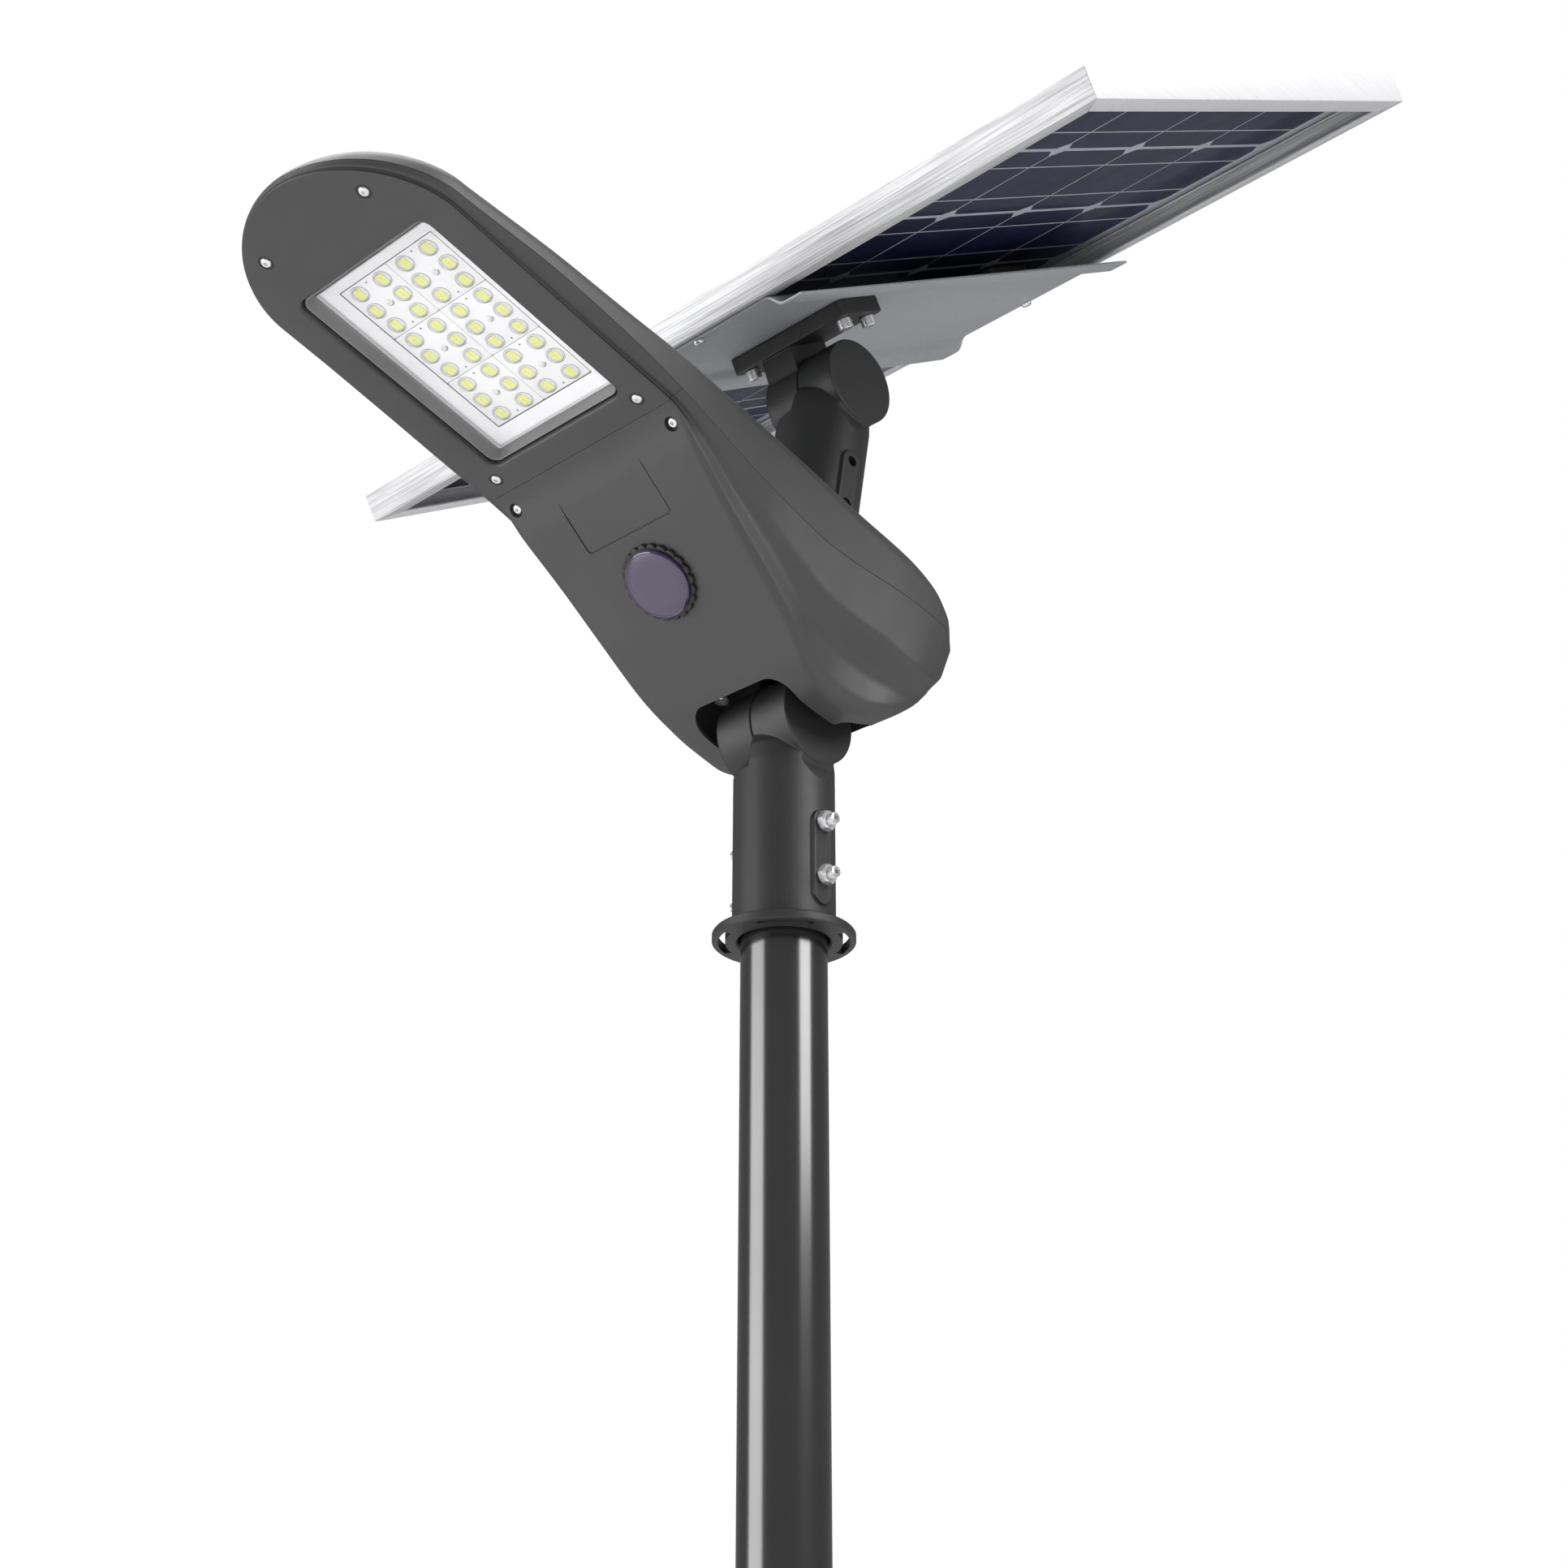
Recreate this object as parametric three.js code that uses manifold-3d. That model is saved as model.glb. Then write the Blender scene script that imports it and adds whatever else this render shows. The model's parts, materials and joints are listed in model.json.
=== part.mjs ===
// Solar street lamp: lamp head and framed solar panel on a pole section, joined by two swivel knuckles.
// Millimetres, +Z up, X along the knuckle axes, -Y towards the lamp's nose, origin at the pole's foot.
import * as THREE from 'three';
import { mergeVertices } from 'three/addons/utils/BufferGeometryUtils.js';
import Module from 'manifold-3d';

const wasm = await Module();
wasm.setup();

// ---------------------------------------------------------------- driving dimensions
const GAP = 0.3; // air between neighbouring pieces
const KNUCKLE_HEIGHT = 900; // lower knuckle axis above the pole's foot
const POLE = { radius: 30, wall: 3, topBelowKnuckle: 53 };
const KNUCKLE = { radius: 34.6, halfLength: 34.2, boltRadius: 5, boltHeadRadius: 8,
  headSunk: 9, blindEnd: 8 };
const SLEEVE = { radius: 36, bore: 31.7, length: 161.4, boreTop: 51, shoulderDrop: 38, flangeRadius: 49.7,
  flangeThick: 7 };
const FLANGE_SLOT = { inner: 40.5, outer: 45.5, sweep: 0.95, count: 4 };
const SCREW_ROWS = [82, 122]; // set screw rows below each knuckle axis
const SCREW_PAD = { face: 38, radius: 9, overshoot: 12 };
const SET_SCREW = { radius: 4, tip: 50, nutRadius: 7.5, nutThick: 6 };

const HEAD_TILT = THREE.MathUtils.degToRad(15.9); // underside rises towards the nose
const LED_PLANE = 82.25; // underside of the LED end above the knuckle axis
const SHELL_WALL = 3;
const SEAM_Y = -233.1; // joint between front and rear covers
const BELLY_ANGLE = THREE.MathUtils.degToRad(25.58); // rear cover slope against the LED plane
const NOSE = { side: 92, reach: 78.5, power: 1.88, cornerY: 426 };
const RECESS = { halfX: 58, front: -53, rear: 52, ceiling: 49, depth: 70 };
const RECESS_MOUTH = { halfX: 46, corner: 16, accessX: 56, accessFrom: 4, accessTo: 44 };
const WINDOW = { halfX: 59.5, y0: -426, y1: -259, recess: 14.8 };
const BEZEL = { halfX: 66, y0: -432.5, y1: -255, sunk: 4, corner: 9, rimWidth: 3, rimDepth: 12 };
const LENS = { pitch: 48, size: 47.4, radius: 6.6, dome: 4, across: 2, along: 3, plane: 17.3, thick: 2.2,
  midY: -343.8 };
const SENSOR = {
  alongBelly: 105, radius: 25.8, bevel: 1.2, thick: 3, ringRadius: 29.2, ringHeight: 3.2, teeth: 16,
};

const POST_LEAN = THREE.MathUtils.degToRad(-10); // neck post leans towards the rear
const UPPER_KNUCKLE = { y: 48.9, z: 305.9 }; // above the lower knuckle axis
const POST = { radius: 30, wall: 3.5, foot: 199, collarRadius: 41, collarTop: 165.5 };

const PANEL_TILT = THREE.MathUtils.degToRad(30.9); // rises towards the rear
const PANEL = { width: 755, length: 485.4, depth: 23, y: 107.0, z: 411.1, wall: 2, flange: 18, lip: 8 };
const LAMINATE = { thick: 4, bottom: 16.8 };
const CHANNEL = { web: 76, drop: 10, flare: 8, lip: 22, thick: 2, halfLength: 236 };
const ARM_PLATE = { halfX: 54, halfY: 31, bottom: 38, thick: 10.7, screwX: 45, screwY: 18 };
const PANEL_PLATE = { halfX: 60, s0: -128, s1: -76, top: 2.6, thick: 12.4, boltX: 49, boltS: [-117, -86] };

// ---------------------------------------------------------------- materials
function material(color, roughness, metalness) {
  return new THREE.MeshStandardMaterial({ color, roughness, metalness });
}
const darkPaint = material(0x4c4c4c, 0.55, 0.2);
const blackPaint = material(0x2f2f30, 0.5, 0.2);
const polePaint = material(0x5a5b5d, 0.25, 0.6);
const steel = material(0xc8c8c8, 0.25, 1);
const aluminium = material(0xd6dadd, 0.35, 1);
const sheetMetal = material(0x9fa2a9, 0.5, 0.6);
const greyTrim = material(0x7a7a7c, 0.5, 0.1);
const whitePlastic = material(0xf2f2f2, 0.4, 0);
const clear = material(0xeef4f6, 0.05, 0);
const cellBlue = material(0x1a1c35, 0.2, 0.1);
const purple = material(0x5f5868, 0.25, 0);
const blackPlastic = material(0x202022, 0.6, 0);
const green = material(0x2d6a44, 0.6, 0);
const batteryBlue = material(0x2a55a0, 0.45, 0);
const rubber = material(0x1b1b1b, 0.9, 0);

// ---------------------------------------------------------------- solid helpers
function toSolid(geometry) {
  const bare = geometry.clone();
  for (const name of ['normal', 'uv']) bare.deleteAttribute(name);
  const merged = mergeVertices(bare, 1e-4);
  const positions = new Float32Array(merged.attributes.position.array);
  const triangles = new Uint32Array(merged.index.array);
  return new wasm.Manifold(new wasm.Mesh({ numProp: 3, vertProperties: positions, triVerts: triangles }));
}

function toGeometry(solid) {
  const mesh = solid.getMesh();
  const geometry = new THREE.BufferGeometry();
  geometry.setAttribute('position', new THREE.BufferAttribute(new Float32Array(mesh.vertProperties), 3));
  geometry.setIndex(new THREE.BufferAttribute(new Uint32Array(mesh.triVerts), 1));
  geometry.computeVertexNormals();
  return geometry;
}

function join(first, ...rest) {
  return toGeometry(rest.reduce((sum, next) => sum.add(toSolid(next)), toSolid(first)));
}

function cut(first, ...rest) {
  return toGeometry(rest.reduce((sum, next) => sum.subtract(toSolid(next)), toSolid(first)));
}

function common(first, second) {
  return toGeometry(toSolid(first).intersect(toSolid(second)));
}

function box(x0, x1, y0, y1, z0, z1) {
  const geometry = new THREE.BoxGeometry(x1 - x0, y1 - y0, z1 - z0);
  return geometry.translate((x0 + x1) / 2, (y0 + y1) / 2, (z0 + z1) / 2);
}

function drumX(radius, x0, x1, sides = 36) {
  const geometry = new THREE.CylinderGeometry(radius, radius, x1 - x0, sides);
  return geometry.rotateZ(-Math.PI / 2).translate((x0 + x1) / 2, 0, 0);
}

function drumZ(radius, z0, z1, sides = 36) {
  const geometry = new THREE.CylinderGeometry(radius, radius, z1 - z0, sides);
  return geometry.rotateX(Math.PI / 2).translate(0, 0, (z0 + z1) / 2);
}

// A turned piece about Z from [radius, z] pairs that start and end on the axis or close on themselves.
function turned(profile, sides) {
  const points = profile.map(([radius, z]) => new THREE.Vector2(radius, z));
  return new THREE.LatheGeometry(points, sides).rotateX(Math.PI / 2);
}

function tube(outer, inner, z0, z1, sides = 36) {
  return turned([[inner, z0], [outer, z0], [outer, z1], [inner, z1], [inner, z0]], sides);
}

function roundedRect(halfX, y0, y1, corner) {
  const shape = new THREE.Shape();
  shape.moveTo(-halfX + corner, y0);
  shape.lineTo(halfX - corner, y0);
  shape.absarc(halfX - corner, y0 + corner, corner, -Math.PI / 2, 0);
  shape.lineTo(halfX, y1 - corner);
  shape.absarc(halfX - corner, y1 - corner, corner, 0, Math.PI / 2);
  shape.lineTo(-halfX + corner, y1);
  shape.absarc(-halfX + corner, y1 - corner, corner, Math.PI / 2, Math.PI);
  shape.lineTo(-halfX, y0 + corner);
  shape.absarc(-halfX + corner, y0 + corner, corner, Math.PI, Math.PI * 1.5);
  return shape;
}

function slab(shape, z0, z1, curveSegments = 4) {
  const options = { depth: z1 - z0, bevelEnabled: false, curveSegments };
  return new THREE.ExtrudeGeometry(shape, options).translate(0, 0, z0);
}

// A prism along X from [y, z] points.
function prismX(points, x0, x1) {
  const shape = new THREE.Shape(points.map(([y, z]) => new THREE.Vector2(y, z)));
  const geometry = new THREE.ExtrudeGeometry(shape, { depth: x1 - x0, bevelEnabled: false });
  return geometry.rotateY(Math.PI / 2).rotateX(Math.PI / 2).translate(x0, 0, 0);
}

// A cap screw along Z: head above z = 0, shank below, hexagon socket in the head.
function capScrew(headRadius, headHeight, shankRadius, shankLength, sides = 10) {
  const body = turned([[0, -shankLength], [shankRadius, -shankLength], [shankRadius, 0], [headRadius, 0],
    [headRadius, headHeight], [0, headHeight]], sides);
  return cut(body, drumZ(headRadius * 0.5, headHeight * 0.45, headHeight + 1, 6));
}

function piece(name, geometry, look, parent) {
  const mesh = new THREE.Mesh(geometry, look);
  mesh.name = name;
  parent.add(mesh);
  return mesh;
}

// ---------------------------------------------------------------- groups
const lamp = new THREE.Group();
const lowerKnuckle = new THREE.Group();
lowerKnuckle.position.z = KNUCKLE_HEIGHT;
const head = new THREE.Group(); // origin on the lower knuckle axis, z = LED_PLANE is the LED underside
head.rotation.x = -HEAD_TILT;
const upperKnuckle = new THREE.Group();
upperKnuckle.position.set(0, UPPER_KNUCKLE.y, UPPER_KNUCKLE.z);
const post = new THREE.Group(); // origin on the upper knuckle axis, -Z down the post
post.rotation.x = POST_LEAN;
const panel = new THREE.Group(); // origin at the middle of the frame's underside
panel.position.set(0, PANEL.y, PANEL.z);
panel.rotation.x = PANEL_TILT;
lamp.add(lowerKnuckle);
lowerKnuckle.add(head, upperKnuckle, panel);
upperKnuckle.add(post);

// ---------------------------------------------------------------- pole
const poleTop = KNUCKLE_HEIGHT - POLE.topBelowKnuckle;
piece('pole_section', tube(POLE.radius, POLE.radius - POLE.wall, 0, poleTop), polePaint, lamp);

// ---------------------------------------------------------------- spigot casting used at both knuckles
function ringSector(inner, outer, start, sweep) {
  const shape = new THREE.Shape();
  shape.absarc(0, 0, outer, start, start + sweep, false);
  shape.absarc(0, 0, inner, start + sweep, start, true);
  return shape;
}

function screwPad(side) {
  const [first, last] = SCREW_ROWS;
  const shape = new THREE.Shape();
  shape.absarc(0, -first, SCREW_PAD.radius, 0, Math.PI, false);
  shape.absarc(0, -last - SCREW_PAD.overshoot, SCREW_PAD.radius, Math.PI, Math.PI * 2, false);
  const pad = slab(shape, SLEEVE.bore + 1, SCREW_PAD.face, 6);
  return pad.rotateX(Math.PI / 2).rotateZ(side * Math.PI / 2);
}

function spigotCasting() {
  const foot = -SLEEVE.length;
  const flangeTop = foot + SLEEVE.flangeThick;
  const body = turned([[0, foot], [SLEEVE.flangeRadius, foot], [SLEEVE.flangeRadius, flangeTop - 1],
    [SLEEVE.flangeRadius - 1, flangeTop], [SLEEVE.radius + 2, flangeTop], [SLEEVE.radius, flangeTop + 3],
    [SLEEVE.radius, -6], [SLEEVE.radius - 8, 0], [0, 0]], 36);
  const knuckle = drumX(KNUCKLE.radius, 0, KNUCKLE.halfLength);
  const casting = join(body, knuckle, screwPad(1), screwPad(-1));
  const cuts = [
    drumZ(SLEEVE.bore, foot - 5, -SLEEVE.boreTop),
    drumX(KNUCKLE.radius + 1.6, -SLEEVE.radius - 10, GAP),
    drumX(KNUCKLE.boltRadius + GAP, -1, KNUCKLE.halfLength - KNUCKLE.blindEnd, 16),
    box(-SLEEVE.radius - 10, GAP, -SLEEVE.radius - 10, SLEEVE.radius + 10, -SLEEVE.shoulderDrop,
      KNUCKLE.radius + 10),
  ];
  for (const row of SCREW_ROWS) {
    cuts.push(drumX(SET_SCREW.radius + GAP, -60, 60, 10).translate(0, 0, -row));
  }
  for (let slot = 0; slot < FLANGE_SLOT.count; slot += 1) {
    const start = (slot / FLANGE_SLOT.count) * Math.PI * 2 + (Math.PI / 4 - FLANGE_SLOT.sweep / 2);
    cuts.push(slab(ringSector(FLANGE_SLOT.inner, FLANGE_SLOT.outer, start, FLANGE_SLOT.sweep), foot - 1,
      flangeTop + 1, 6));
  }
  return cut(casting, ...cuts);
}

// The clamp bolt runs through the arm's drum into the casting's drum.
function clampBolt() {
  const length = KNUCKLE.halfLength * 2 - KNUCKLE.headSunk - KNUCKLE.blindEnd - 2;
  const bolt = capScrew(KNUCKLE.boltHeadRadius, 8, KNUCKLE.boltRadius, length, 16);
  return bolt.rotateY(-Math.PI / 2).translate(-KNUCKLE.halfLength + KNUCKLE.headSunk, 0, 0);
}

function armDrum() {
  return drumX(KNUCKLE.radius, -KNUCKLE.halfLength, -GAP);
}

function boltHoles() {
  return [
    drumX(KNUCKLE.boltRadius + GAP, -KNUCKLE.halfLength - 5, 5, 16),
    drumX(KNUCKLE.boltHeadRadius + GAP, -KNUCKLE.halfLength - 5,
      -KNUCKLE.halfLength + KNUCKLE.headSunk + GAP, 16),
  ];
}

// ---------------------------------------------------------------- lower coupling
const coupling = spigotCasting();
piece('lower_sleeve', coupling, blackPaint, lowerKnuckle);
piece('lower_clamp_bolt', clampBolt(), steel, lowerKnuckle);

let screwNumber = 0;
for (const side of [1, -1]) {
  for (const row of SCREW_ROWS) {
    screwNumber += 1;
    const screw = cut(drumZ(SET_SCREW.radius, POLE.radius + GAP, SET_SCREW.tip, 10),
      drumZ(SET_SCREW.radius * 0.55, SET_SCREW.tip - 3, SET_SCREW.tip + 1, 6));
    screw.rotateY(side * Math.PI / 2).translate(0, 0, -row);
    piece(`set_screw_${screwNumber}`, screw, steel, lowerKnuckle);
    const nutStart = SCREW_PAD.face + GAP;
    const nut = cut(drumZ(SET_SCREW.nutRadius, nutStart, nutStart + SET_SCREW.nutThick, 6),
      drumZ(SET_SCREW.radius + GAP, 0, SET_SCREW.tip, 10));
    nut.rotateY(side * Math.PI / 2).translate(0, 0, -row);
    piece(`lock_nut_${screwNumber}`, nut, steel, lowerKnuckle);
  }
}

// ---------------------------------------------------------------- lower arm
const plateTop = ARM_PLATE.bottom + ARM_PLATE.thick;
const armPlate = slab(roundedRect(ARM_PLATE.halfX, -ARM_PLATE.halfY, ARM_PLATE.halfY, 8), ARM_PLATE.bottom,
  plateTop);
const armNeck = prismX([[-27, 0], [27, 0], [24, ARM_PLATE.bottom + 1], [-24, ARM_PLATE.bottom + 1]],
  -KNUCKLE.halfLength + 2, -GAP);
const armScrewSpots = [[1, 1], [1, -1], [-1, 1], [-1, -1]].map(([x, y]) => [x * ARM_PLATE.screwX,
  y * ARM_PLATE.screwY]);
const armScrewHoles = armScrewSpots.map(([x, y]) => drumZ(3 + GAP, 0, 80, 10).translate(x, y, 0));
piece('lower_arm', cut(join(armDrum(), armNeck, armPlate), ...boltHoles(), ...armScrewHoles), blackPaint,
  lowerKnuckle);
armScrewSpots.forEach(([x, y], index) => {
  const screw = capScrew(6, 5, 3, 21).rotateX(Math.PI).translate(x, y, ARM_PLATE.bottom - GAP);
  piece(`arm_screw_${index + 1}`, screw, steel, lowerKnuckle);
});

// ---------------------------------------------------------------- head shell
// Half sections from tip to tail. y is minus the distance ahead of the knuckle; heights are above the LED
// underside. belly, valley, wing, edge and shoulder are [x, height] corners; crown is the ridge's height.
function noseHalfWidth(ahead) {
  const share = (ahead - NOSE.cornerY) / NOSE.reach;
  return NOSE.side * (1 - share ** NOSE.power) ** (1 / NOSE.power);
}

function noseSection(ahead, flare, shoulder, crown) {
  const half = noseHalfWidth(ahead);
  return {
    ahead,
    belly: [half - 1.5, 0],
    valley: [half, 0.8],
    wing: [half + flare * 0.5, 4],
    edge: [half + flare, 8],
    shoulder: [half + flare - 1, shoulder],
    crown,
  };
}

const SECTIONS = [
  noseSection(NOSE.cornerY + NOSE.reach - 1, 0, 12, 14),
  noseSection(496, 0, 13.5, 17),
  noseSection(482, 1, 15, 21),
  noseSection(462, 2, 16.5, 26),
  noseSection(NOSE.cornerY, 5, 18.5, 31),
  { ahead: 340, belly: [90, 0], valley: [92, 0.8], wing: [97, 5], edge: [102, 10], shoulder: [101, 23],
    crown: 37 },
  { ahead: 285, belly: [90, 0], valley: [92, 0.8], wing: [97.5, 4.5], edge: [102.5, 9], shoulder: [101.5, 26],
    crown: 41 },
  { ahead: 233.1, belly: [89, 0], valley: [92, 1.5], wing: [97, 4], edge: [101, 6.5], shoulder: [100, 32],
    crown: 46 },
  { ahead: 200, belly: [86, -15.8], valley: [91, -6], wing: [95.5, -1], edge: [99.5, 3], shoulder: [98, 34],
    crown: 49 },
  { ahead: 160, belly: [82, -35], valley: [87, -20], wing: [92.5, -10], edge: [97.5, -1], shoulder: [96, 37],
    crown: 52 },
  { ahead: 120, belly: [79, -54.1], valley: [84.5, -36], wing: [90.5, -22], edge: [96, -4], shoulder: [95, 38],
    crown: 54.5 },
  { ahead: 80, belly: [76, -73.3], valley: [83, -50], wing: [90.5, -35], edge: [95.5, -6], shoulder: [95, 36],
    crown: 56 },
  { ahead: 54, belly: [70, -85.7], valley: [84, -58], wing: [92, -44], edge: [96, -4], shoulder: [95.5, 34],
    crown: 56.5 },
  { ahead: 26, belly: [66, -92.5], valley: [88, -53], wing: [95, -43], edge: [97, 0], shoulder: [96.5, 33],
    crown: 56.5 },
  { ahead: 0, belly: [66, -91], valley: [90, -48], wing: [97, -40], edge: [98.5, 3], shoulder: [97.5, 32],
    crown: 55 },
  { ahead: -25, belly: [66, -78], valley: [89, -50], wing: [97.5, -43], edge: [99, 5], shoulder: [98, 29],
    crown: 47 },
  { ahead: -45, belly: [68, -60], valley: [86, -50], wing: [94.5, -42], edge: [98, 6], shoulder: [96.5, 19],
    crown: 30 },
  { ahead: -57, belly: [64, -40], valley: [80, -36], wing: [89, -28], edge: [93, -4], shoulder: [91, 3],
    crown: 7 },
];

// The half section as [x, height] corners from keel to ridge, moved inwards by a wall thickness.
function halfSection(section, wall) {
  const { belly, valley, wing, edge, shoulder, crown } = section;
  const rise = crown - shoulder[1];
  const flank = [belly[0] + 0.75 * (valley[0] - belly[0]), belly[1] + 0.25 * (valley[1] - belly[1])];
  return [
    [0, belly[1] + wall],
    [belly[0] - wall, belly[1] + wall],
    [flank[0] - wall, flank[1] + wall],
    [valley[0] - wall * 1.2, valley[1] + wall * 0.8],
    [wing[0] - wall * 1.2, wing[1] + wall * 0.4],
    [edge[0] - wall, edge[1]],
    [shoulder[0] - wall, shoulder[1] - wall * 0.5],
    [shoulder[0] * 0.93 - wall * 0.5, shoulder[1] + rise * 0.6 - wall],
    [shoulder[0] * 0.6, shoulder[1] + rise * 0.9 - wall],
    [0, crown - wall],
  ];
}

function loft(wall) {
  const last = SECTIONS.length - 1;
  const rings = SECTIONS.map((section, index) => {
    const half = halfSection(section, wall);
    const mirrored = half.slice(1, -1).reverse().map(([x, z]) => [-x, z]);
    let y = -section.ahead;
    if (index === 0) y += wall;
    if (index === last) y -= wall;
    return [...half, ...mirrored].map(([x, z]) => [x, y, z + LED_PLANE]);
  });
  const count = rings[0].length;
  const positions = rings.flat(2);
  const indices = [];
  for (let ring = 0; ring < last; ring += 1) {
    for (let corner = 0; corner < count; corner += 1) {
      const a = ring * count + corner;
      const b = ring * count + ((corner + 1) % count);
      indices.push(a, b + count, b, a, a + count, b + count);
    }
  }
  const tail = last * count;
  for (let corner = 1; corner < count - 1; corner += 1) {
    indices.push(0, corner, corner + 1);
    indices.push(tail, tail + corner + 1, tail + corner);
  }
  const geometry = new THREE.BufferGeometry();
  geometry.setAttribute('position', new THREE.Float32BufferAttribute(positions, 3));
  geometry.setIndex(indices);
  return geometry;
}

const outerLoft = loft(0);
const hollowShell = cut(outerLoft, loft(SHELL_WALL));

// Everything above the parting line, which follows the sections' edge corners.
function abovePartingLine(shift) {
  const line = SECTIONS.map((section) => [-section.ahead, LED_PLANE + section.edge[1] + shift]);
  const first = line[0];
  const last = line[line.length - 1];
  return prismX([[first[0] - 20, first[1]], ...line, [last[0] + 20, last[1]], [last[0] + 20, 300],
    [first[0] - 20, 300]], -200, 200);
}

// ---------------------------------------------------------------- upper housing and neck post
const toHead = new THREE.Matrix4().makeRotationX(HEAD_TILT);
const postToHead = toHead.clone()
  .multiply(new THREE.Matrix4().makeTranslation(0, UPPER_KNUCKLE.y, UPPER_KNUCKLE.z))
  .multiply(new THREE.Matrix4().makeRotationX(POST_LEAN));
const collar = drumZ(POST.collarRadius, -POST.foot + 4, -POST.collarTop, 36).applyMatrix4(postToHead);
const postBore = drumZ(POST.radius + GAP, -POST.foot - 4, -POST.collarTop + 10, 36).applyMatrix4(postToHead);
const upperShell = common(hollowShell, abovePartingLine(GAP / 2));
piece('upper_housing', cut(join(upperShell, collar), postBore), darkPaint, head);
piece('neck_post', tube(POST.radius, POST.radius - POST.wall, -POST.foot, -SLEEVE.boreTop - 2), blackPaint,
  post);

// ---------------------------------------------------------------- front and rear covers
const lowerShell = cut(hollowShell, abovePartingLine(-GAP / 2));
const windowHole = slab(roundedRect(BEZEL.halfX + GAP, BEZEL.y0 - GAP, BEZEL.y1 + GAP, BEZEL.corner),
  LED_PLANE - 10, LED_PLANE + 40);
const windowRim = slab(roundedRect(BEZEL.halfX + BEZEL.rimWidth, BEZEL.y0 - BEZEL.rimWidth,
  BEZEL.y1 + BEZEL.rimWidth, BEZEL.corner + BEZEL.rimWidth), LED_PLANE + 1, LED_PLANE + BEZEL.rimDepth);
const frontHalf = common(lowerShell, box(-150, 150, -600, SEAM_Y - GAP / 2, -100, 300));
const rearHalf = common(lowerShell, box(-150, 150, SEAM_Y + GAP / 2, 200, -100, 300));

// Places on the underside: the front row of screws, the row ahead of the seam, and the row behind it.
const bellyFrame = new THREE.Matrix4().makeTranslation(0, SEAM_Y, LED_PLANE)
  .multiply(new THREE.Matrix4().makeRotationX(-BELLY_ANGLE));
const ledFrame = new THREE.Matrix4().makeTranslation(0, 0, LED_PLANE);
const COVER_SCREW = { headRadius: 4.2, headHeight: 3.4, shank: 2, length: 12, counterbore: 5.2 };
const coverScrewSpots = [
  { frame: ledFrame, x: 52.3, y: -468.7, sunk: 3.2, boss: 8 },
  { frame: ledFrame, x: 72.7, y: -246.4, sunk: 3.2, boss: 8 },
  { frame: bellyFrame, x: 80, y: 14.1, sunk: 7, boss: 8.5 },
].flatMap((spot) => [spot, { ...spot, x: -spot.x }]);

function inFrame(geometry, spot) {
  return geometry.translate(spot.x, spot.y, 0).applyMatrix4(spot.frame);
}

function screwBoss(spot) {
  return inFrame(drumZ(spot.boss, 0.4, spot.sunk + 6, 14), spot);
}

function screwHole(spot) {
  const bore = drumZ(COVER_SCREW.shank + GAP, -5, 40, 10);
  const counterbore = drumZ(COVER_SCREW.counterbore, -5, spot.sunk, 14);
  return inFrame(join(bore, counterbore), spot);
}

const frontSpots = coverScrewSpots.filter((spot) => spot.frame === ledFrame);
const rearSpots = coverScrewSpots.filter((spot) => spot.frame === bellyFrame);
const insideOuter = (geometry) => common(geometry, outerLoft);
const frontBosses = frontSpots.map((spot) => common(insideOuter(screwBoss(spot)), box(-150, 150, -600,
  SEAM_Y - GAP / 2, -100, LED_PLANE + 6)));
const frontBody = join(frontHalf, windowRim, ...frontBosses);
piece('front_cover', cut(frontBody, windowHole, ...frontSpots.map(screwHole)), darkPaint, head);

const recessOuter = box(-RECESS.halfX - SHELL_WALL, RECESS.halfX + SHELL_WALL, RECESS.front - SHELL_WALL,
  RECESS.rear + SHELL_WALL, -RECESS.depth, RECESS.ceiling + SHELL_WALL).applyMatrix4(toHead);
const recessInner = box(-RECESS.halfX, RECESS.halfX, RECESS.front, RECESS.rear, -RECESS.depth - 5,
  RECESS.ceiling).applyMatrix4(toHead);
const recessWalls = cut(insideOuter(recessOuter), recessInner);
const recessMouth = slab(roundedRect(RECESS_MOUTH.halfX, RECESS.front, RECESS.rear, RECESS_MOUTH.corner),
  -RECESS.depth - 5, RECESS.ceiling).applyMatrix4(toHead);
const screwAccess = slab(roundedRect(RECESS_MOUTH.accessX, RECESS_MOUTH.accessFrom, RECESS_MOUTH.accessTo, 8),
  -RECESS.depth - 5, RECESS.ceiling).applyMatrix4(toHead);
const rearBosses = rearSpots.map((spot) => common(insideOuter(screwBoss(spot)), box(-150, 150,
  SEAM_Y + GAP / 2, 200, -100, LED_PLANE + 2)));
const sensorHole = drumZ(14, -20, 20, 24).translate(0, SENSOR.alongBelly, 0).applyMatrix4(bellyFrame);
const armScrewBores = armScrewSpots.map(([x, y]) => drumZ(3 + GAP, 0, 80, 10).translate(x, y, 0)
  .applyMatrix4(toHead));
const labelPanel = slab(roundedRect(42, 15.8, 66.1, 3), -1, 0.6).applyMatrix4(bellyFrame);
piece('rear_cover', cut(join(rearHalf, recessWalls, ...rearBosses), recessMouth, screwAccess, sensorHole,
  labelPanel, ...rearSpots.map(screwHole), ...armScrewBores), darkPaint, head);

coverScrewSpots.forEach((spot, index) => {
  const { headRadius, headHeight, shank, length } = COVER_SCREW;
  const screw = capScrew(headRadius, headHeight, shank, length).rotateX(Math.PI);
  piece(`cover_screw_${index + 1}`, inFrame(screw.translate(0, 0, spot.sunk - GAP), spot), steel, head);
});

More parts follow.
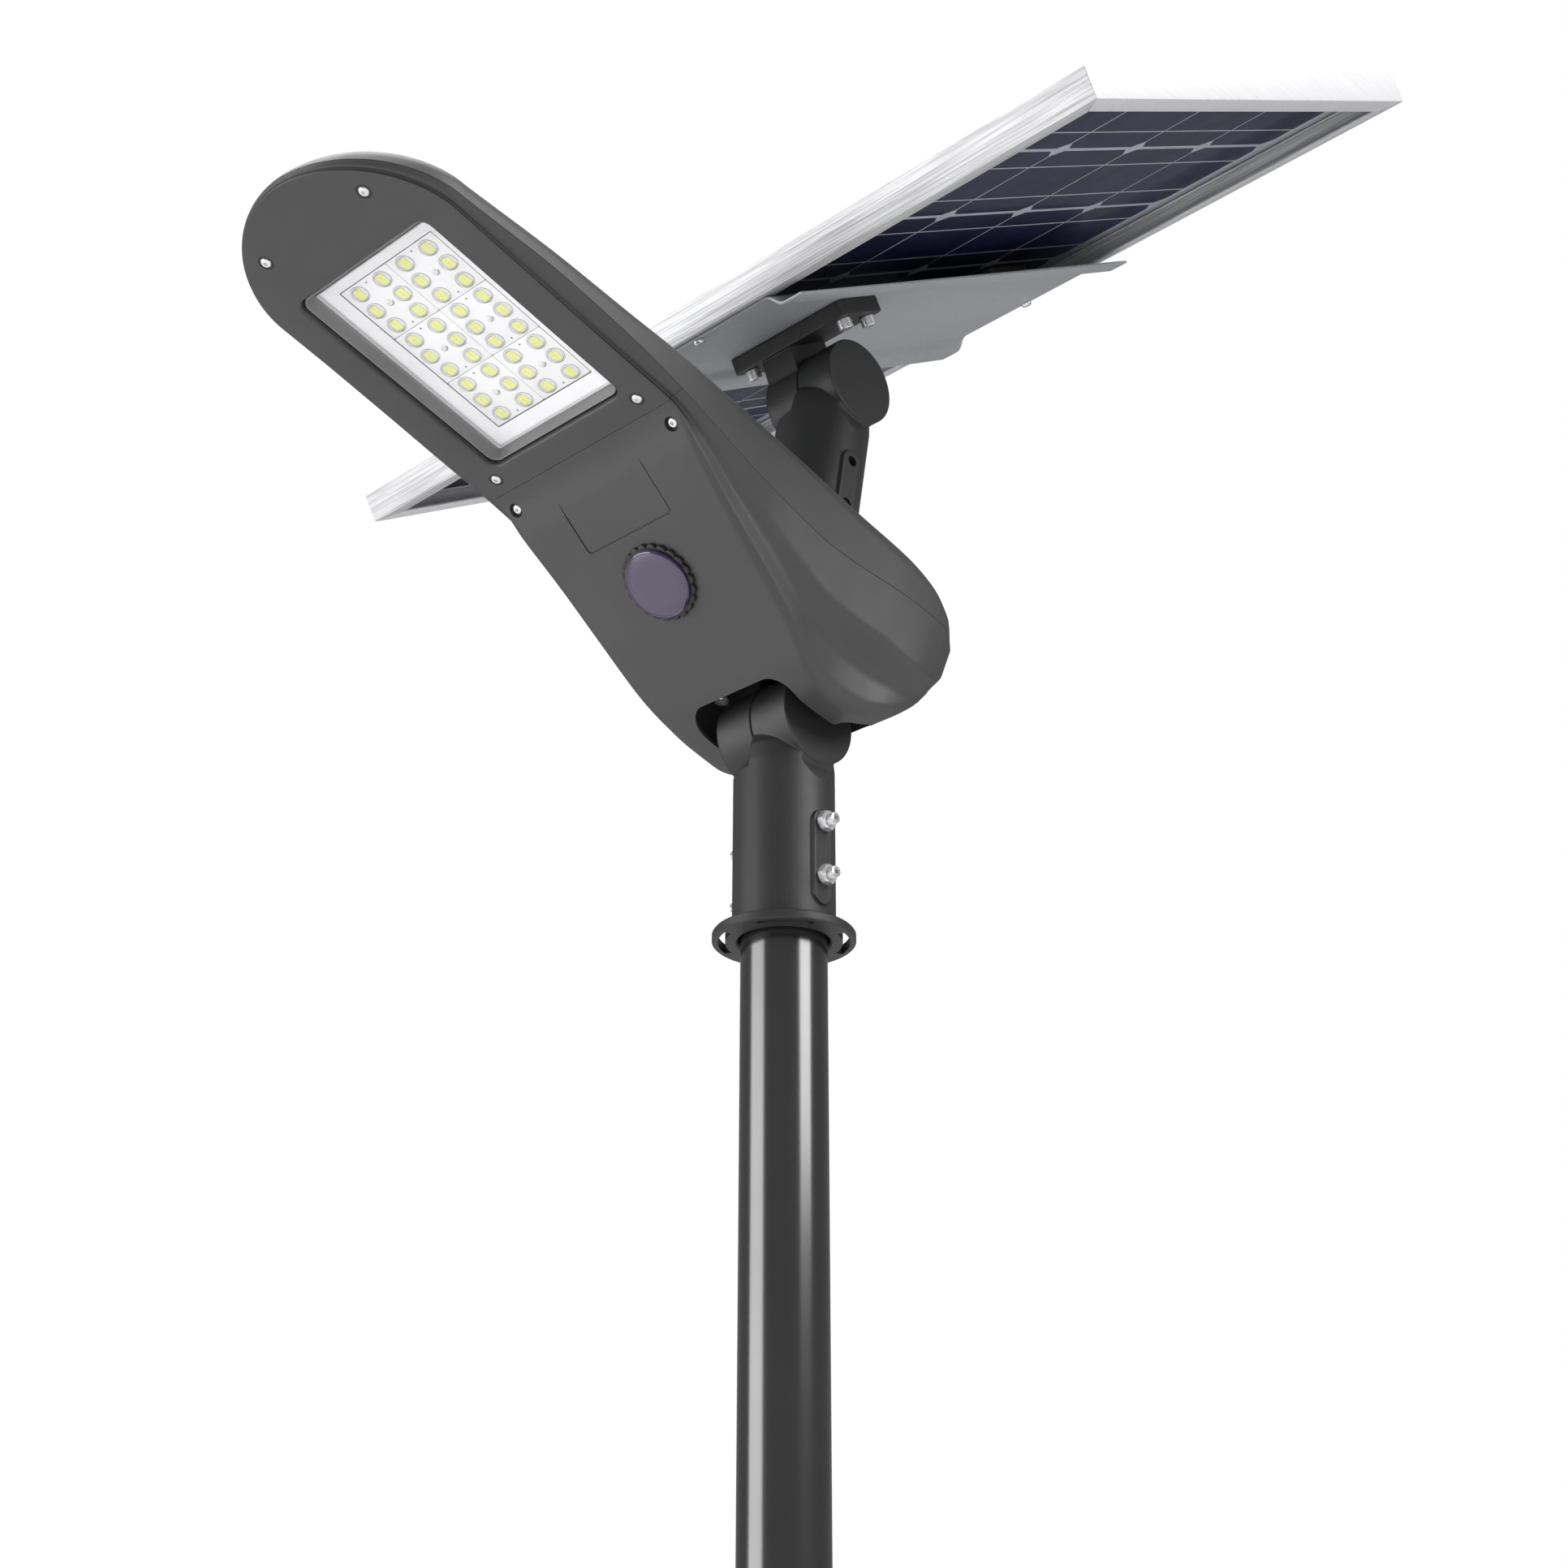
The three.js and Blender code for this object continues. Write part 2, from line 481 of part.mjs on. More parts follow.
// ---------------------------------------------------------------- light engine
const bezelTop = LED_PLANE + WINDOW.recess - 0.5;
const bezelBody = slab(roundedRect(BEZEL.halfX, BEZEL.y0, BEZEL.y1, BEZEL.corner), LED_PLANE + BEZEL.sunk,
  bezelTop);
const bezelOpening = slab(roundedRect(WINDOW.halfX, WINDOW.y0, WINDOW.y1, 3), LED_PLANE - 10, bezelTop + 5);
const GLASS = { bottom: 9.5, thick: 2.5, margin: 3 };
const glassSeat = slab(roundedRect(WINDOW.halfX + GLASS.margin, WINDOW.y0 - GLASS.margin,
  WINDOW.y1 + GLASS.margin, 3), LED_PLANE + GLASS.bottom, bezelTop + 5);
piece('bezel', cut(bezelBody, bezelOpening, glassSeat), greyTrim, head);
piece('window_glass', slab(roundedRect(WINDOW.halfX + GLASS.margin - GAP, WINDOW.y0 - GLASS.margin + GAP,
  WINDOW.y1 + GLASS.margin - GAP, 3), LED_PLANE + GLASS.bottom + GAP, LED_PLANE + GLASS.bottom + GLASS.thick),
clear, head);
const gasketBase = LED_PLANE + GLASS.bottom + GLASS.thick + GAP;
piece('window_gasket', cut(slab(roundedRect(WINDOW.halfX + GLASS.margin - GAP, WINDOW.y0 - GLASS.margin + GAP,
  WINDOW.y1 + GLASS.margin - GAP, 3), gasketBase, bezelTop), slab(roundedRect(WINDOW.halfX + 0.5,
  WINDOW.y0 - 0.5, WINDOW.y1 + 0.5, 3), LED_PLANE, bezelTop + 5)), rubber, head);

const lensSpanX = LENS.pitch * LENS.across / 2;
const lensSpanY = LENS.pitch * LENS.along / 2;
const lensMidY = LENS.midY;
const trayBase = LED_PLANE + WINDOW.recess;
const trayBody = slab(roundedRect(BEZEL.halfX - 1, BEZEL.y0 + 1, BEZEL.y1 - 1, BEZEL.corner), trayBase,
  trayBase + 6);
const trayOpening = box(-lensSpanX - GAP, lensSpanX + GAP, lensMidY - lensSpanY - GAP, lensMidY + lensSpanY + GAP,
  trayBase - 5, trayBase + 10);
piece('reflector_tray', cut(trayBody, trayOpening), whitePlastic, head);

// Six lenses on each plate: rows of three, the middle lens of each row pushed away from the centre screw.
function lensPlate() {
  const half = LENS.size / 2;
  let plate = box(-half, half, -half, half, 0, LENS.thick);
  const offsetY = LENS.pitch / 3;
  for (const side of [-1, 1]) {
    for (const row of [-1, 0, 1]) {
      const x = side * (row === 0 ? LENS.pitch * 0.295 : LENS.pitch * 0.25);
      const profile = [0, 1, 2].map((step) => [LENS.radius * Math.sin(step * Math.PI / 4),
        -LENS.dome * Math.cos(step * Math.PI / 4)]);
      const dome = turned([...profile, [LENS.radius, 1], [0, 1]], 8);
      plate = join(plate, dome.translate(x, row * offsetY, 0));
    }
  }
  return plate;
}

const lensGeometry = lensPlate();
for (let along = 0; along < LENS.along; along += 1) {
  for (let across = 0; across < LENS.across; across += 1) {
    const plate = piece(`lens_plate_${along * LENS.across + across + 1}`, lensGeometry.clone(), clear, head);
    plate.position.set((across - (LENS.across - 1) / 2) * LENS.pitch,
      lensMidY + (along - (LENS.along - 1) / 2) * LENS.pitch, LED_PLANE + LENS.plane);
  }
}
const boardBase = LED_PLANE + LENS.plane + 3.8;
piece('led_board', box(-lensSpanX - 2, lensSpanX + 2, lensMidY - lensSpanY - 2, lensMidY + lensSpanY + 2,
  boardBase, boardBase + 1.6), green, head);

// ---------------------------------------------------------------- battery, controller and sensor
piece('battery_pack', slab(roundedRect(60, -196, -92, 6), LED_PLANE - 6, LED_PLANE + 32), batteryBlue, head);
piece('charge_controller', slab(roundedRect(38, -240, -204, 3), LED_PLANE + 8, LED_PLANE + 28), blackPlastic,
  head);

function toBelly(geometry) {
  return geometry.translate(0, SENSOR.alongBelly, 0).applyMatrix4(bellyFrame);
}

function socketRing() {
  const shape = new THREE.Shape();
  const steps = SENSOR.teeth * 4;
  for (let step = 0; step < steps; step += 1) {
    const angle = (step / steps) * Math.PI * 2;
    const radius = SENSOR.ringRadius - (step % 4 < 2 ? 0 : 2.2);
    const place = [radius * Math.cos(angle), radius * Math.sin(angle)];
    if (step === 0) shape.moveTo(...place);
    else shape.lineTo(...place);
  }
  shape.closePath();
  const ring = slab(shape, -SENSOR.ringHeight, -GAP);
  const stem = drumZ(13.5, -SENSOR.ringHeight + 1, 12, 24);
  return cut(join(ring, stem), drumZ(8, -SENSOR.ringHeight - 1, 8, 20));
}
piece('sensor_socket', toBelly(socketRing()), blackPlastic, head);

const sensorBase = -SENSOR.ringHeight - GAP;
const sensorFace = sensorBase - SENSOR.thick;
piece('sensor_lens', toBelly(turned([[0, sensorFace], [SENSOR.radius - SENSOR.bevel, sensorFace],
  [SENSOR.radius, sensorFace + SENSOR.bevel], [SENSOR.radius, sensorBase], [7.6, sensorBase], [7.6, 6],
  [0, 6]], 32)), purple, head);

// ---------------------------------------------------------------- upper coupling
piece('upper_sleeve', spigotCasting(), blackPaint, post);
piece('upper_clamp_bolt', clampBolt(), steel, upperKnuckle);
[1, -1].forEach((side, index) => {
  const grub = cut(drumZ(SET_SCREW.radius, POST.radius + GAP, SCREW_PAD.face - 1.5, 10),
    drumZ(SET_SCREW.radius * 0.55, SCREW_PAD.face - 4, SCREW_PAD.face + 1, 6));
  grub.rotateY(side * Math.PI / 2).translate(0, 0, -SCREW_ROWS[1]);
  piece(`grub_screw_${index + 1}`, grub, steel, post);
});

// ---------------------------------------------------------------- upper arm
const panelPlateMidY = (PANEL_PLATE.s0 + PANEL_PLATE.s1) / 2;
const panelPlate = slab(roundedRect(PANEL_PLATE.halfX, PANEL_PLATE.s0, PANEL_PLATE.s1, 6),
  -PANEL_PLATE.top - PANEL_PLATE.thick, -PANEL_PLATE.top);
const upperKnuckleInPanel = new THREE.Vector3(0, UPPER_KNUCKLE.y - PANEL.y, UPPER_KNUCKLE.z - PANEL.z)
  .applyAxisAngle(new THREE.Vector3(1, 0, 0), -PANEL_TILT);
const toPanelKnuckle = (geometry) => geometry.translate(0, upperKnuckleInPanel.y, upperKnuckleInPanel.z);
const upperNeck = prismX([[-27, 0], [27, 0], [panelPlateMidY - upperKnuckleInPanel.y + 22, 52],
  [panelPlateMidY - upperKnuckleInPanel.y - 22, 52]], -KNUCKLE.halfLength + 2, -GAP);
const boltSpots = PANEL_PLATE.boltS.flatMap((s) => [[-PANEL_PLATE.boltX, s], [PANEL_PLATE.boltX, s]]);
const plateBoltHoles = boltSpots.map(([x, y]) => drumZ(3 + GAP, -60, 10, 10).translate(x, y, 0));
piece('upper_arm', cut(join(panelPlate, toPanelKnuckle(armDrum()), toPanelKnuckle(upperNeck)),
  ...boltHoles().map(toPanelKnuckle), ...plateBoltHoles), blackPaint, panel);
boltSpots.forEach(([x, y], index) => {
  const bolt = capScrew(6, 8, 3, PANEL_PLATE.thick + 6).rotateX(Math.PI);
  piece(`plate_bolt_${index + 1}`, bolt.translate(x, y, -PANEL_PLATE.top - PANEL_PLATE.thick - GAP), steel,
    panel);
});

// ---------------------------------------------------------------- hat channel
function hatChannel() {
  const { web, drop, flare, lip, thick } = CHANNEL;
  const outline = [
    [-web, -GAP], [web, -GAP], [web + flare, -drop], [web + flare + lip, -drop],
    [web + flare + lip, -drop - thick], [web + flare - 1.5, -drop - thick], [web - 1.5, -GAP - thick],
    [-web + 1.5, -GAP - thick], [-web - flare + 1.5, -drop - thick], [-web - flare - lip, -drop - thick],
    [-web - flare - lip, -drop], [-web - flare, -drop],
  ];
  const shape = new THREE.Shape(outline.map(([x, z]) => new THREE.Vector2(x, z)));
  const geometry = new THREE.ExtrudeGeometry(shape, { depth: CHANNEL.halfLength * 2, bevelEnabled: false });
  return geometry.rotateX(Math.PI / 2).translate(0, CHANNEL.halfLength, 0);
}
const frameScrewY = PANEL.length / 2 - PANEL.flange / 2 - 2;
const frameScrewHoles = [-1, 1].map((end) => drumZ(2.5 + GAP, -20, 10, 10).translate(0, end * frameScrewY, 0));
piece('hat_channel', cut(hatChannel(), ...plateBoltHoles, ...frameScrewHoles), sheetMetal, panel);

// ---------------------------------------------------------------- panel frame, laminate and junction box
// Rail section: outer wall, inward bottom flange, shelf under the laminate and top lip; x runs inwards.
function railSection() {
  const { depth, wall, flange, lip } = PANEL;
  const shelf = LAMINATE.bottom - GAP;
  const lipUnder = LAMINATE.bottom + LAMINATE.thick + GAP;
  return [[0, 0], [flange, 0], [flange, wall], [wall, wall], [wall, shelf - wall], [lip, shelf - wall],
    [lip, shelf], [wall, shelf], [wall, lipUnder], [lip, lipUnder], [lip, depth], [0, depth]];
}

// One rail along X on the -Y side of a frame that is length long and span wide, mitred at both ends.
function rail(length, span) {
  const points = railSection().map(([inward, z]) => [inward - span / 2, z]);
  const bar = prismX(points, -length / 2, length / 2);
  const half = length / 2 - GAP / 2;
  const reach = PANEL.flange + 10;
  const mitre = new THREE.Shape([[-half, -span / 2], [half, -span / 2], [half - reach, -span / 2 + reach],
    [-half + reach, -span / 2 + reach]].map(([x, y]) => new THREE.Vector2(x, y)));
  return common(bar, slab(mitre, -5, PANEL.depth + 5));
}

const screwClearance = [-1, 1].map((end) => drumZ(2.5 + GAP, -20, 10, 10).translate(0, end * frameScrewY, 0));
const longRail = rail(PANEL.width, PANEL.length);
const shortRail = rail(PANEL.length, PANEL.width);
piece('frame_rail_low', cut(longRail, screwClearance[0]), aluminium, panel);
piece('frame_rail_high', cut(longRail.clone().rotateZ(Math.PI), screwClearance[1]), aluminium, panel);
piece('frame_rail_right', shortRail.clone().rotateZ(Math.PI / 2), aluminium, panel);
piece('frame_rail_left', shortRail.clone().rotateZ(-Math.PI / 2), aluminium, panel);
[-1, 1].forEach((end, index) => {
  const screw = capScrew(4.5, 3.5, 2.5, 8).rotateX(Math.PI);
  piece(`channel_screw_${index + 1}`, screw.translate(0, end * frameScrewY, -CHANNEL.thick - 2 * GAP), steel,
    panel);
});

const laminateMargin = PANEL.wall + GAP;
piece('solar_laminate', box(-PANEL.width / 2 + laminateMargin, PANEL.width / 2 - laminateMargin,
  -PANEL.length / 2 + laminateMargin, PANEL.length / 2 - laminateMargin, LAMINATE.bottom,
  LAMINATE.bottom + LAMINATE.thick), cellBlue, panel);
piece('junction_box', slab(roundedRect(45, 120, 180, 5), 2.5, LAMINATE.bottom - GAP), blackPlastic, panel);

export default lamp;
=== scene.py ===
"""Looks of the solar street lamp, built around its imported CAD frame."""
import json
from math import atan2, cos, exp, pi, radians, sin
import bmesh
import bpy
import numpy as np
from mathutils import Matrix, Vector


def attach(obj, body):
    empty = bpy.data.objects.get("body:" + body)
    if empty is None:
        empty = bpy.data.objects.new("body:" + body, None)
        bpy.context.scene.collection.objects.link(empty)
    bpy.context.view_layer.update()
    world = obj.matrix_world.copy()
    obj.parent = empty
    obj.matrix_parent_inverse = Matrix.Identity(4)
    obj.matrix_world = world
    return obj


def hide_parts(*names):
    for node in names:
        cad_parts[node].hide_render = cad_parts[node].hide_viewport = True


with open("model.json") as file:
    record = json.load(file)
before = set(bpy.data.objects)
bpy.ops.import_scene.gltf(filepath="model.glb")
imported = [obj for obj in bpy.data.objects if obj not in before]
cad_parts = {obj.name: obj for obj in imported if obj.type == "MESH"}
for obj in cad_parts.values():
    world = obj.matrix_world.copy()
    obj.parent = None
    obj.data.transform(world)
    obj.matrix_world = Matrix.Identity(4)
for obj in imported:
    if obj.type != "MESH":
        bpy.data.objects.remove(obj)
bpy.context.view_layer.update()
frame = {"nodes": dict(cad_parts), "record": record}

# ------ driving dimensions, in millimetres
MM = 0.001
HEAD_TILT = radians(15.9)
BELLY_ANGLE = radians(25.58)
LED_PLANE = 82.25
SEAM_AHEAD = 233.1
WALL = 3.0
PANEL_TILT = radians(30.9)
PANEL_AT = (0.0, 107.0, 411.1)
PANEL_SIZE = (755.0, 485.4, 23.0)
KNUCKLE_RADIUS = 34.6
KNUCKLE_HALF = 34.2
KNUCKLE_GAP = 0.35
SLEEVE_RADIUS = 36.0
SLEEVE_LENGTH = 161.4
SCREW_ROWS = (82.0, 122.0)

JOINTS = {joint["name"]: joint for joint in frame["record"]["behaviour"]["joints"]}
KNUCKLE = Vector(JOINTS["head_tilt"]["pos_m"]) / MM
UPPER_KNUCKLE = Vector(JOINTS["panel_tilt"]["pos_m"]) / MM
POST_LEAN = -atan2(JOINTS["panel_swivel"]["axis"][1], JOINTS["panel_swivel"]["axis"][2])


def shift(x, y, z):
    return Matrix.Translation((x, y, z))


def spin(angle, axis):
    return Matrix.Rotation(angle, 4, axis)


LOWER = shift(*KNUCKLE)
HEAD = LOWER @ spin(-HEAD_TILT, "X")
LED = HEAD @ shift(0, 0, LED_PLANE)
BELLY = LED @ shift(0, -SEAM_AHEAD, 0) @ spin(-BELLY_ANGLE, "X")
UPPER = shift(*UPPER_KNUCKLE)
POST = UPPER @ spin(POST_LEAN, "X")
PANEL = LOWER @ shift(*PANEL_AT) @ spin(PANEL_TILT, "X")
BELLY_LOCAL = LED.inverted() @ BELLY
UPRIGHT_LOCAL = LED.inverted() @ LOWER
POST_LOCAL = LED.inverted() @ POST
TURN_X = spin(pi / 2, "Y")
FLIP = spin(pi, "X")


# ------ material helpers
class Nodes:
    """A small builder for one node material."""

    def __init__(self, name, **sockets):
        self.material = bpy.data.materials.new(name)
        self.material.use_nodes = True
        self.tree = self.material.node_tree
        self.shader = self.tree.nodes["Principled BSDF"]
        for socket, value in sockets.items():
            self.shader.inputs[socket.replace("_", " ")].default_value = value
        self.place = self.tree.nodes.new("ShaderNodeTexCoord").outputs["Object"]

    def node(self, kind, **values):
        made = self.tree.nodes.new(kind)
        for key, value in values.items():
            if key in made.inputs:
                made.inputs[key].default_value = value
            else:
                setattr(made, key, value)
        return made

    def link(self, output, target):
        self.tree.links.new(output, target)

    def noise(self, scale, detail=3.0, stretch=(1, 1, 1), turn=(0, 0, 0)):
        mapping = self.node("ShaderNodeMapping")
        mapping.inputs["Scale"].default_value = stretch
        mapping.inputs["Rotation"].default_value = turn
        self.link(self.place, mapping.inputs["Vector"])
        noise = self.node("ShaderNodeTexNoise", Scale=scale, Detail=detail)
        self.link(mapping.outputs["Vector"], noise.inputs["Vector"])
        return noise.outputs["Fac"]

    def ramp(self, factor, low, high, start=0.3, end=0.7):
        ramp = self.node("ShaderNodeValToRGB")
        ramp.color_ramp.elements[0].position = start
        ramp.color_ramp.elements[1].position = end
        ramp.color_ramp.elements[0].color = (*low, 1)
        ramp.color_ramp.elements[1].color = (*high, 1)
        self.link(factor, ramp.inputs["Fac"])
        return ramp.outputs["Color"]

    def spread(self, factor, low, high):
        span = self.node("ShaderNodeMapRange")
        span.inputs["To Min"].default_value = low
        span.inputs["To Max"].default_value = high
        self.link(factor, span.inputs["Value"])
        return span.outputs["Result"]

    def colour(self, factor, low, high, **ends):
        self.link(self.ramp(factor, low, high, **ends), self.shader.inputs["Base Color"])

    def roughness(self, factor, low, high):
        self.link(self.spread(factor, low, high), self.shader.inputs["Roughness"])

    def bump(self, factor, strength, distance):
        bump = self.node("ShaderNodeBump", Strength=strength, Distance=distance)
        self.link(factor, bump.inputs["Height"])
        self.link(bump.outputs["Normal"], self.shader.inputs["Normal"])


def grey(value):
    return (value, value, value * 1.01)


def paint(name, low, high, roughness, grain=900.0, depth=0.00006):
    """Powder coat: fine orange peel, slow colour drift and uneven gloss."""
    made = Nodes(name)
    made.colour(made.noise(14.0), low, high)
    made.roughness(made.noise(60.0), roughness - 0.06, roughness + 0.06)
    made.bump(made.noise(grain, 2.0), 0.35, depth)
    return made.material


def brushed(name, low, high, stretch, roughness=(0.22, 0.42), metallic=0.85, turn=(0, 0, 0)):
    """Metal with drawn streaks along one direction."""
    made = Nodes(name, Metallic=metallic)
    streaks = made.noise(60.0, 6.0, stretch, turn)
    made.colour(streaks, low, high, start=0.32, end=0.68)
    made.roughness(made.noise(90.0, 4.0, stretch, turn), *roughness)
    made.bump(streaks, 0.25, 0.0002)
    return made.material


def plastic(name, low, high, roughness, grain=500.0, depth=0.00005, **sockets):
    made = Nodes(name, **sockets)
    made.colour(made.noise(25.0), low, high)
    made.roughness(made.noise(80.0), roughness - 0.05, roughness + 0.05)
    made.bump(made.noise(grain, 2.0), 0.3, depth)
    return made.material


def clear(name, alpha, roughness=0.03):
    made = Nodes(name, Alpha=alpha, IOR=1.45)
    made.colour(made.noise(20.0), grey(0.93), grey(0.98))
    made.roughness(made.noise(50.0), roughness, roughness + 0.04)
    made.bump(made.noise(80.0, 2.0), 0.05, 0.00002)
    return made.material


def pole_enamel():
    """A glossy metallic coat, drawn out along the pole."""
    made = Nodes("pole enamel", Metallic=0.9)
    made.colour(made.noise(8.0), grey(0.11), grey(0.13))
    made.roughness(made.noise(30.0, 3.0, (1, 1, 0.1)), 0.17, 0.21)
    made.bump(made.noise(260.0, 2.0), 0.12, 0.00003)
    return made.material


def solar_cell():
    """Navy silicon under glass, with fine fingers across it."""
    made = Nodes("solar cell", **CELL_GLASS, Specular_IOR_Level=0.12)
    made.colour(made.noise(9.0, 4.0), (0.004, 0.005, 0.022), (0.010, 0.013, 0.055))
    made.roughness(made.noise(40.0), 0.28, 0.4)
    made.bump(made.noise(600.0, 2.0, (1, 12, 12)), 0.08, 0.00002)
    return made.material


CELL_GLASS = dict(Coat_Weight=0.16, Coat_Roughness=0.03)
PAINT_HEAD = paint("head powder coat", grey(0.043), grey(0.05), 0.46)
PAINT_BLACK = paint("black casting paint", grey(0.018), grey(0.024), 0.5, 700.0, 0.00008)
PAINT_POLE = pole_enamel()
STEEL = brushed("stainless steel", grey(0.7), grey(0.84), (1, 1, 1), (0.2, 0.32), 0.75)
ALU_LONG = brushed("brushed aluminium, long rails", (0.42, 0.42, 0.43), (0.80, 0.80, 0.81),
                   (0.25, 14, 14), (0.38, 0.55), 0.35)
ALU_SHORT = brushed("brushed aluminium, short rails", (0.66, 0.66, 0.67), (0.76, 0.76, 0.77),
                    (14, 0.3, 14), (0.4, 0.55), 0.2, (-PANEL_TILT, 0, 0))
SHEET = brushed("galvanised sheet", (0.40, 0.41, 0.435), (0.44, 0.45, 0.475), (3, 3, 3),
                (0.38, 0.5), 0.3)
TRIM = plastic("grey trim", grey(0.185), grey(0.215), 0.42)
BLACK = plastic("black plastic", grey(0.012), grey(0.018), 0.5)
RUBBER = plastic("silicone gasket", grey(0.55), grey(0.6), 0.5)
WHITE = plastic("white reflector", grey(0.88), grey(0.93), 0.3)
CHIP = plastic("LED phosphor", (0.82, 0.86, 0.06), (0.9, 0.92, 0.12), 0.5,
               Emission_Color=(0.9, 0.95, 0.15, 1), Emission_Strength=0.1)
MARK = plastic("dark line", grey(0.05), grey(0.07), 0.5)
PURPLE = plastic("sensor lens", (0.068, 0.052, 0.092), (0.076, 0.06, 0.1), 0.3, 200.0, 0.00001,
                 Coat_Weight=0.25, Coat_Roughness=0.12)
PURPLE_EDGE = plastic("sensor lens bevel", (0.035, 0.018, 0.075), (0.045, 0.024, 0.09), 0.15,
                      200.0, 0.00001, Coat_Weight=1.0, Coat_Roughness=0.05)
BATTERY = plastic("battery wrap", (0.02, 0.07, 0.3), (0.03, 0.09, 0.36), 0.3)
CELL = solar_cell()
CELL_LINE = plastic("busbar", (0.34, 0.36, 0.42), (0.42, 0.44, 0.5), 0.35, **CELL_GLASS)
GLASS = clear("window glass", 0.06)
LENS = clear("lens acrylic", 0.12)
LENS_RIM = plastic("lens edge shade", grey(0.1), grey(0.2), 0.3)


# ------ mesh helpers, millimetres in a local frame
def new_object(name, vertices, faces):
    mesh = bpy.data.meshes.new(name)
    mesh.from_pydata([tuple(map(float, point)) for point in vertices], [], faces)
    mesh.validate()
    obj = bpy.data.objects.new(name, mesh)
    bpy.context.scene.collection.objects.link(obj)
    return obj


def clean(obj, merge=0.0005):
    work = bmesh.new()
    work.from_mesh(obj.data)
    bmesh.ops.remove_doubles(work, verts=work.verts, dist=merge)
    bmesh.ops.dissolve_degenerate(work, edges=work.edges, dist=merge)
    bmesh.ops.recalc_face_normals(work, faces=work.faces)
    work.to_mesh(obj.data)
    work.free()
    return obj


def rings(name, loops, loop_back=False):
    """A skin over equal closed loops, capped at both ends; loop_back joins the last to the first."""
    count = len(loops[0])
    vertices = [point for loop in loops for point in loop]
    faces = []
    for row in range(len(loops) if loop_back else len(loops) - 1):
        after = (row + 1) % len(loops)
        for step in range(count):
            beside = (step + 1) % count
            faces.append((row * count + step, row * count + beside, after * count + beside,
                          after * count + step))
    if not loop_back:
        faces.append(tuple(range(count))[::-1])
        faces.append(tuple((len(loops) - 1) * count + step for step in range(count)))
    return clean(new_object(name, vertices, faces))


def lathe(name, profile, sides=64):
    """A turned solid about Z from (radius, z) points, from axis to axis or closed on itself."""
    loop_back = profile[0] == profile[-1]
    points = profile[:-1] if loop_back else profile
    loops = [[(x, y, z) for x, y in regular(max(radius, 0.0001), sides)] for radius, z in points]
    return rings(name, loops, loop_back)


def cylinder(name, radius, z0, z1, sides=48):
    return lathe(name, [(0, z0), (radius, z0), (radius, z1), (0, z1)], sides)


def prism(name, outline, z0, z1):
    return rings(name, [[(x, y, z0) for x, y in outline], [(x, y, z1) for x, y in outline]])


def block(name, low, high):
    (x0, y0, z0), (x1, y1, z1) = low, high
    return prism(name, [(x0, y0), (x1, y0), (x1, y1), (x0, y1)], z0, z1)


def rounded(half_x, y0, y1, corner, steps=8):
    """A rounded rectangle outline."""
    spots = [(half_x - corner, y0 + corner, -90), (half_x - corner, y1 - corner, 0),
             (-half_x + corner, y1 - corner, 90), (-half_x + corner, y0 + corner, 180)]
    return [(x + corner * cos(radians(start + 90 * step / steps)),
             y + corner * sin(radians(start + 90 * step / steps)))
            for x, y, start in spots for step in range(steps + 1)]


def regular(radius, sides, turn=0.0):
    return [(radius * cos(turn + 2 * pi * step / sides),
             radius * sin(turn + 2 * pi * step / sides)) for step in range(sides)]


def arc(radius, start, end, steps=20):
    return [(radius * cos(angle), radius * sin(angle))
            for angle in np.linspace(start, end, steps)]


def moved(obj, matrix):
    obj.data.transform(matrix)
    return obj


def applied(obj):
    graph = bpy.context.evaluated_depsgraph_get()
    mesh = bpy.data.meshes.new_from_object(obj.evaluated_get(graph))
    obj.modifiers.clear()
    obj.data = mesh
    return obj


def combine(target, others, operation="DIFFERENCE"):
    """Joins to or cuts from the target each of the other solids, which are used up."""
    for other in others:
        boolean = target.modifiers.new("boolean", "BOOLEAN")
        boolean.operation = operation
        boolean.solver = "MANIFOLD"
        boolean.object = other
        bpy.context.view_layer.update()
        applied(target)
        bpy.data.objects.remove(other)
    return target


def copied(obj, name):
    twin = obj.copy()
    twin.data = obj.data.copy()
    twin.name = name
    bpy.context.scene.collection.objects.link(twin)
    return twin


def rounded_edges(obj, width, angle=35, segments=2):
    bevel = obj.modifiers.new("bevel", "BEVEL")
    bevel.width = width
    bevel.segments = segments
    bevel.limit_method = "ANGLE"
    bevel.angle_limit = radians(angle)
    return applied(obj)


def painted(obj, material):
    obj.data.materials.append(material)
    return obj


def holes(spots, radius, z0, z1):
    """Cutters for round holes at (x, y) spots."""
    return [moved(cylinder("hole", radius, z0, z1, 32), shift(x, y, 0)) for x, y in spots]


def smooth(obj, angle=35):
    """Smooth shading with the sharp edges kept."""
    obj.data.shade_smooth()
    obj.data.set_sharp_from_angle(angle=radians(angle))
    return obj


def remeshed(obj, voxel=0.65, passes=4):
    """Melts a joined solid into one casting with soft fillets."""
    remesh = obj.modifiers.new("remesh", "REMESH")
    remesh.mode = "VOXEL"
    remesh.voxel_size = voxel
    soften = obj.modifiers.new("soften", "SMOOTH")
    soften.iterations = passes
    return applied(obj)


def joined(name, objects):
    """One object from several, with their materials."""
    bpy.ops.object.select_all(action="DESELECT")
    for obj in objects:
        obj.select_set(True)
    bpy.context.view_layer.objects.active = objects[0]
    bpy.ops.object.join()
    objects[0].name = name
    return objects[0]


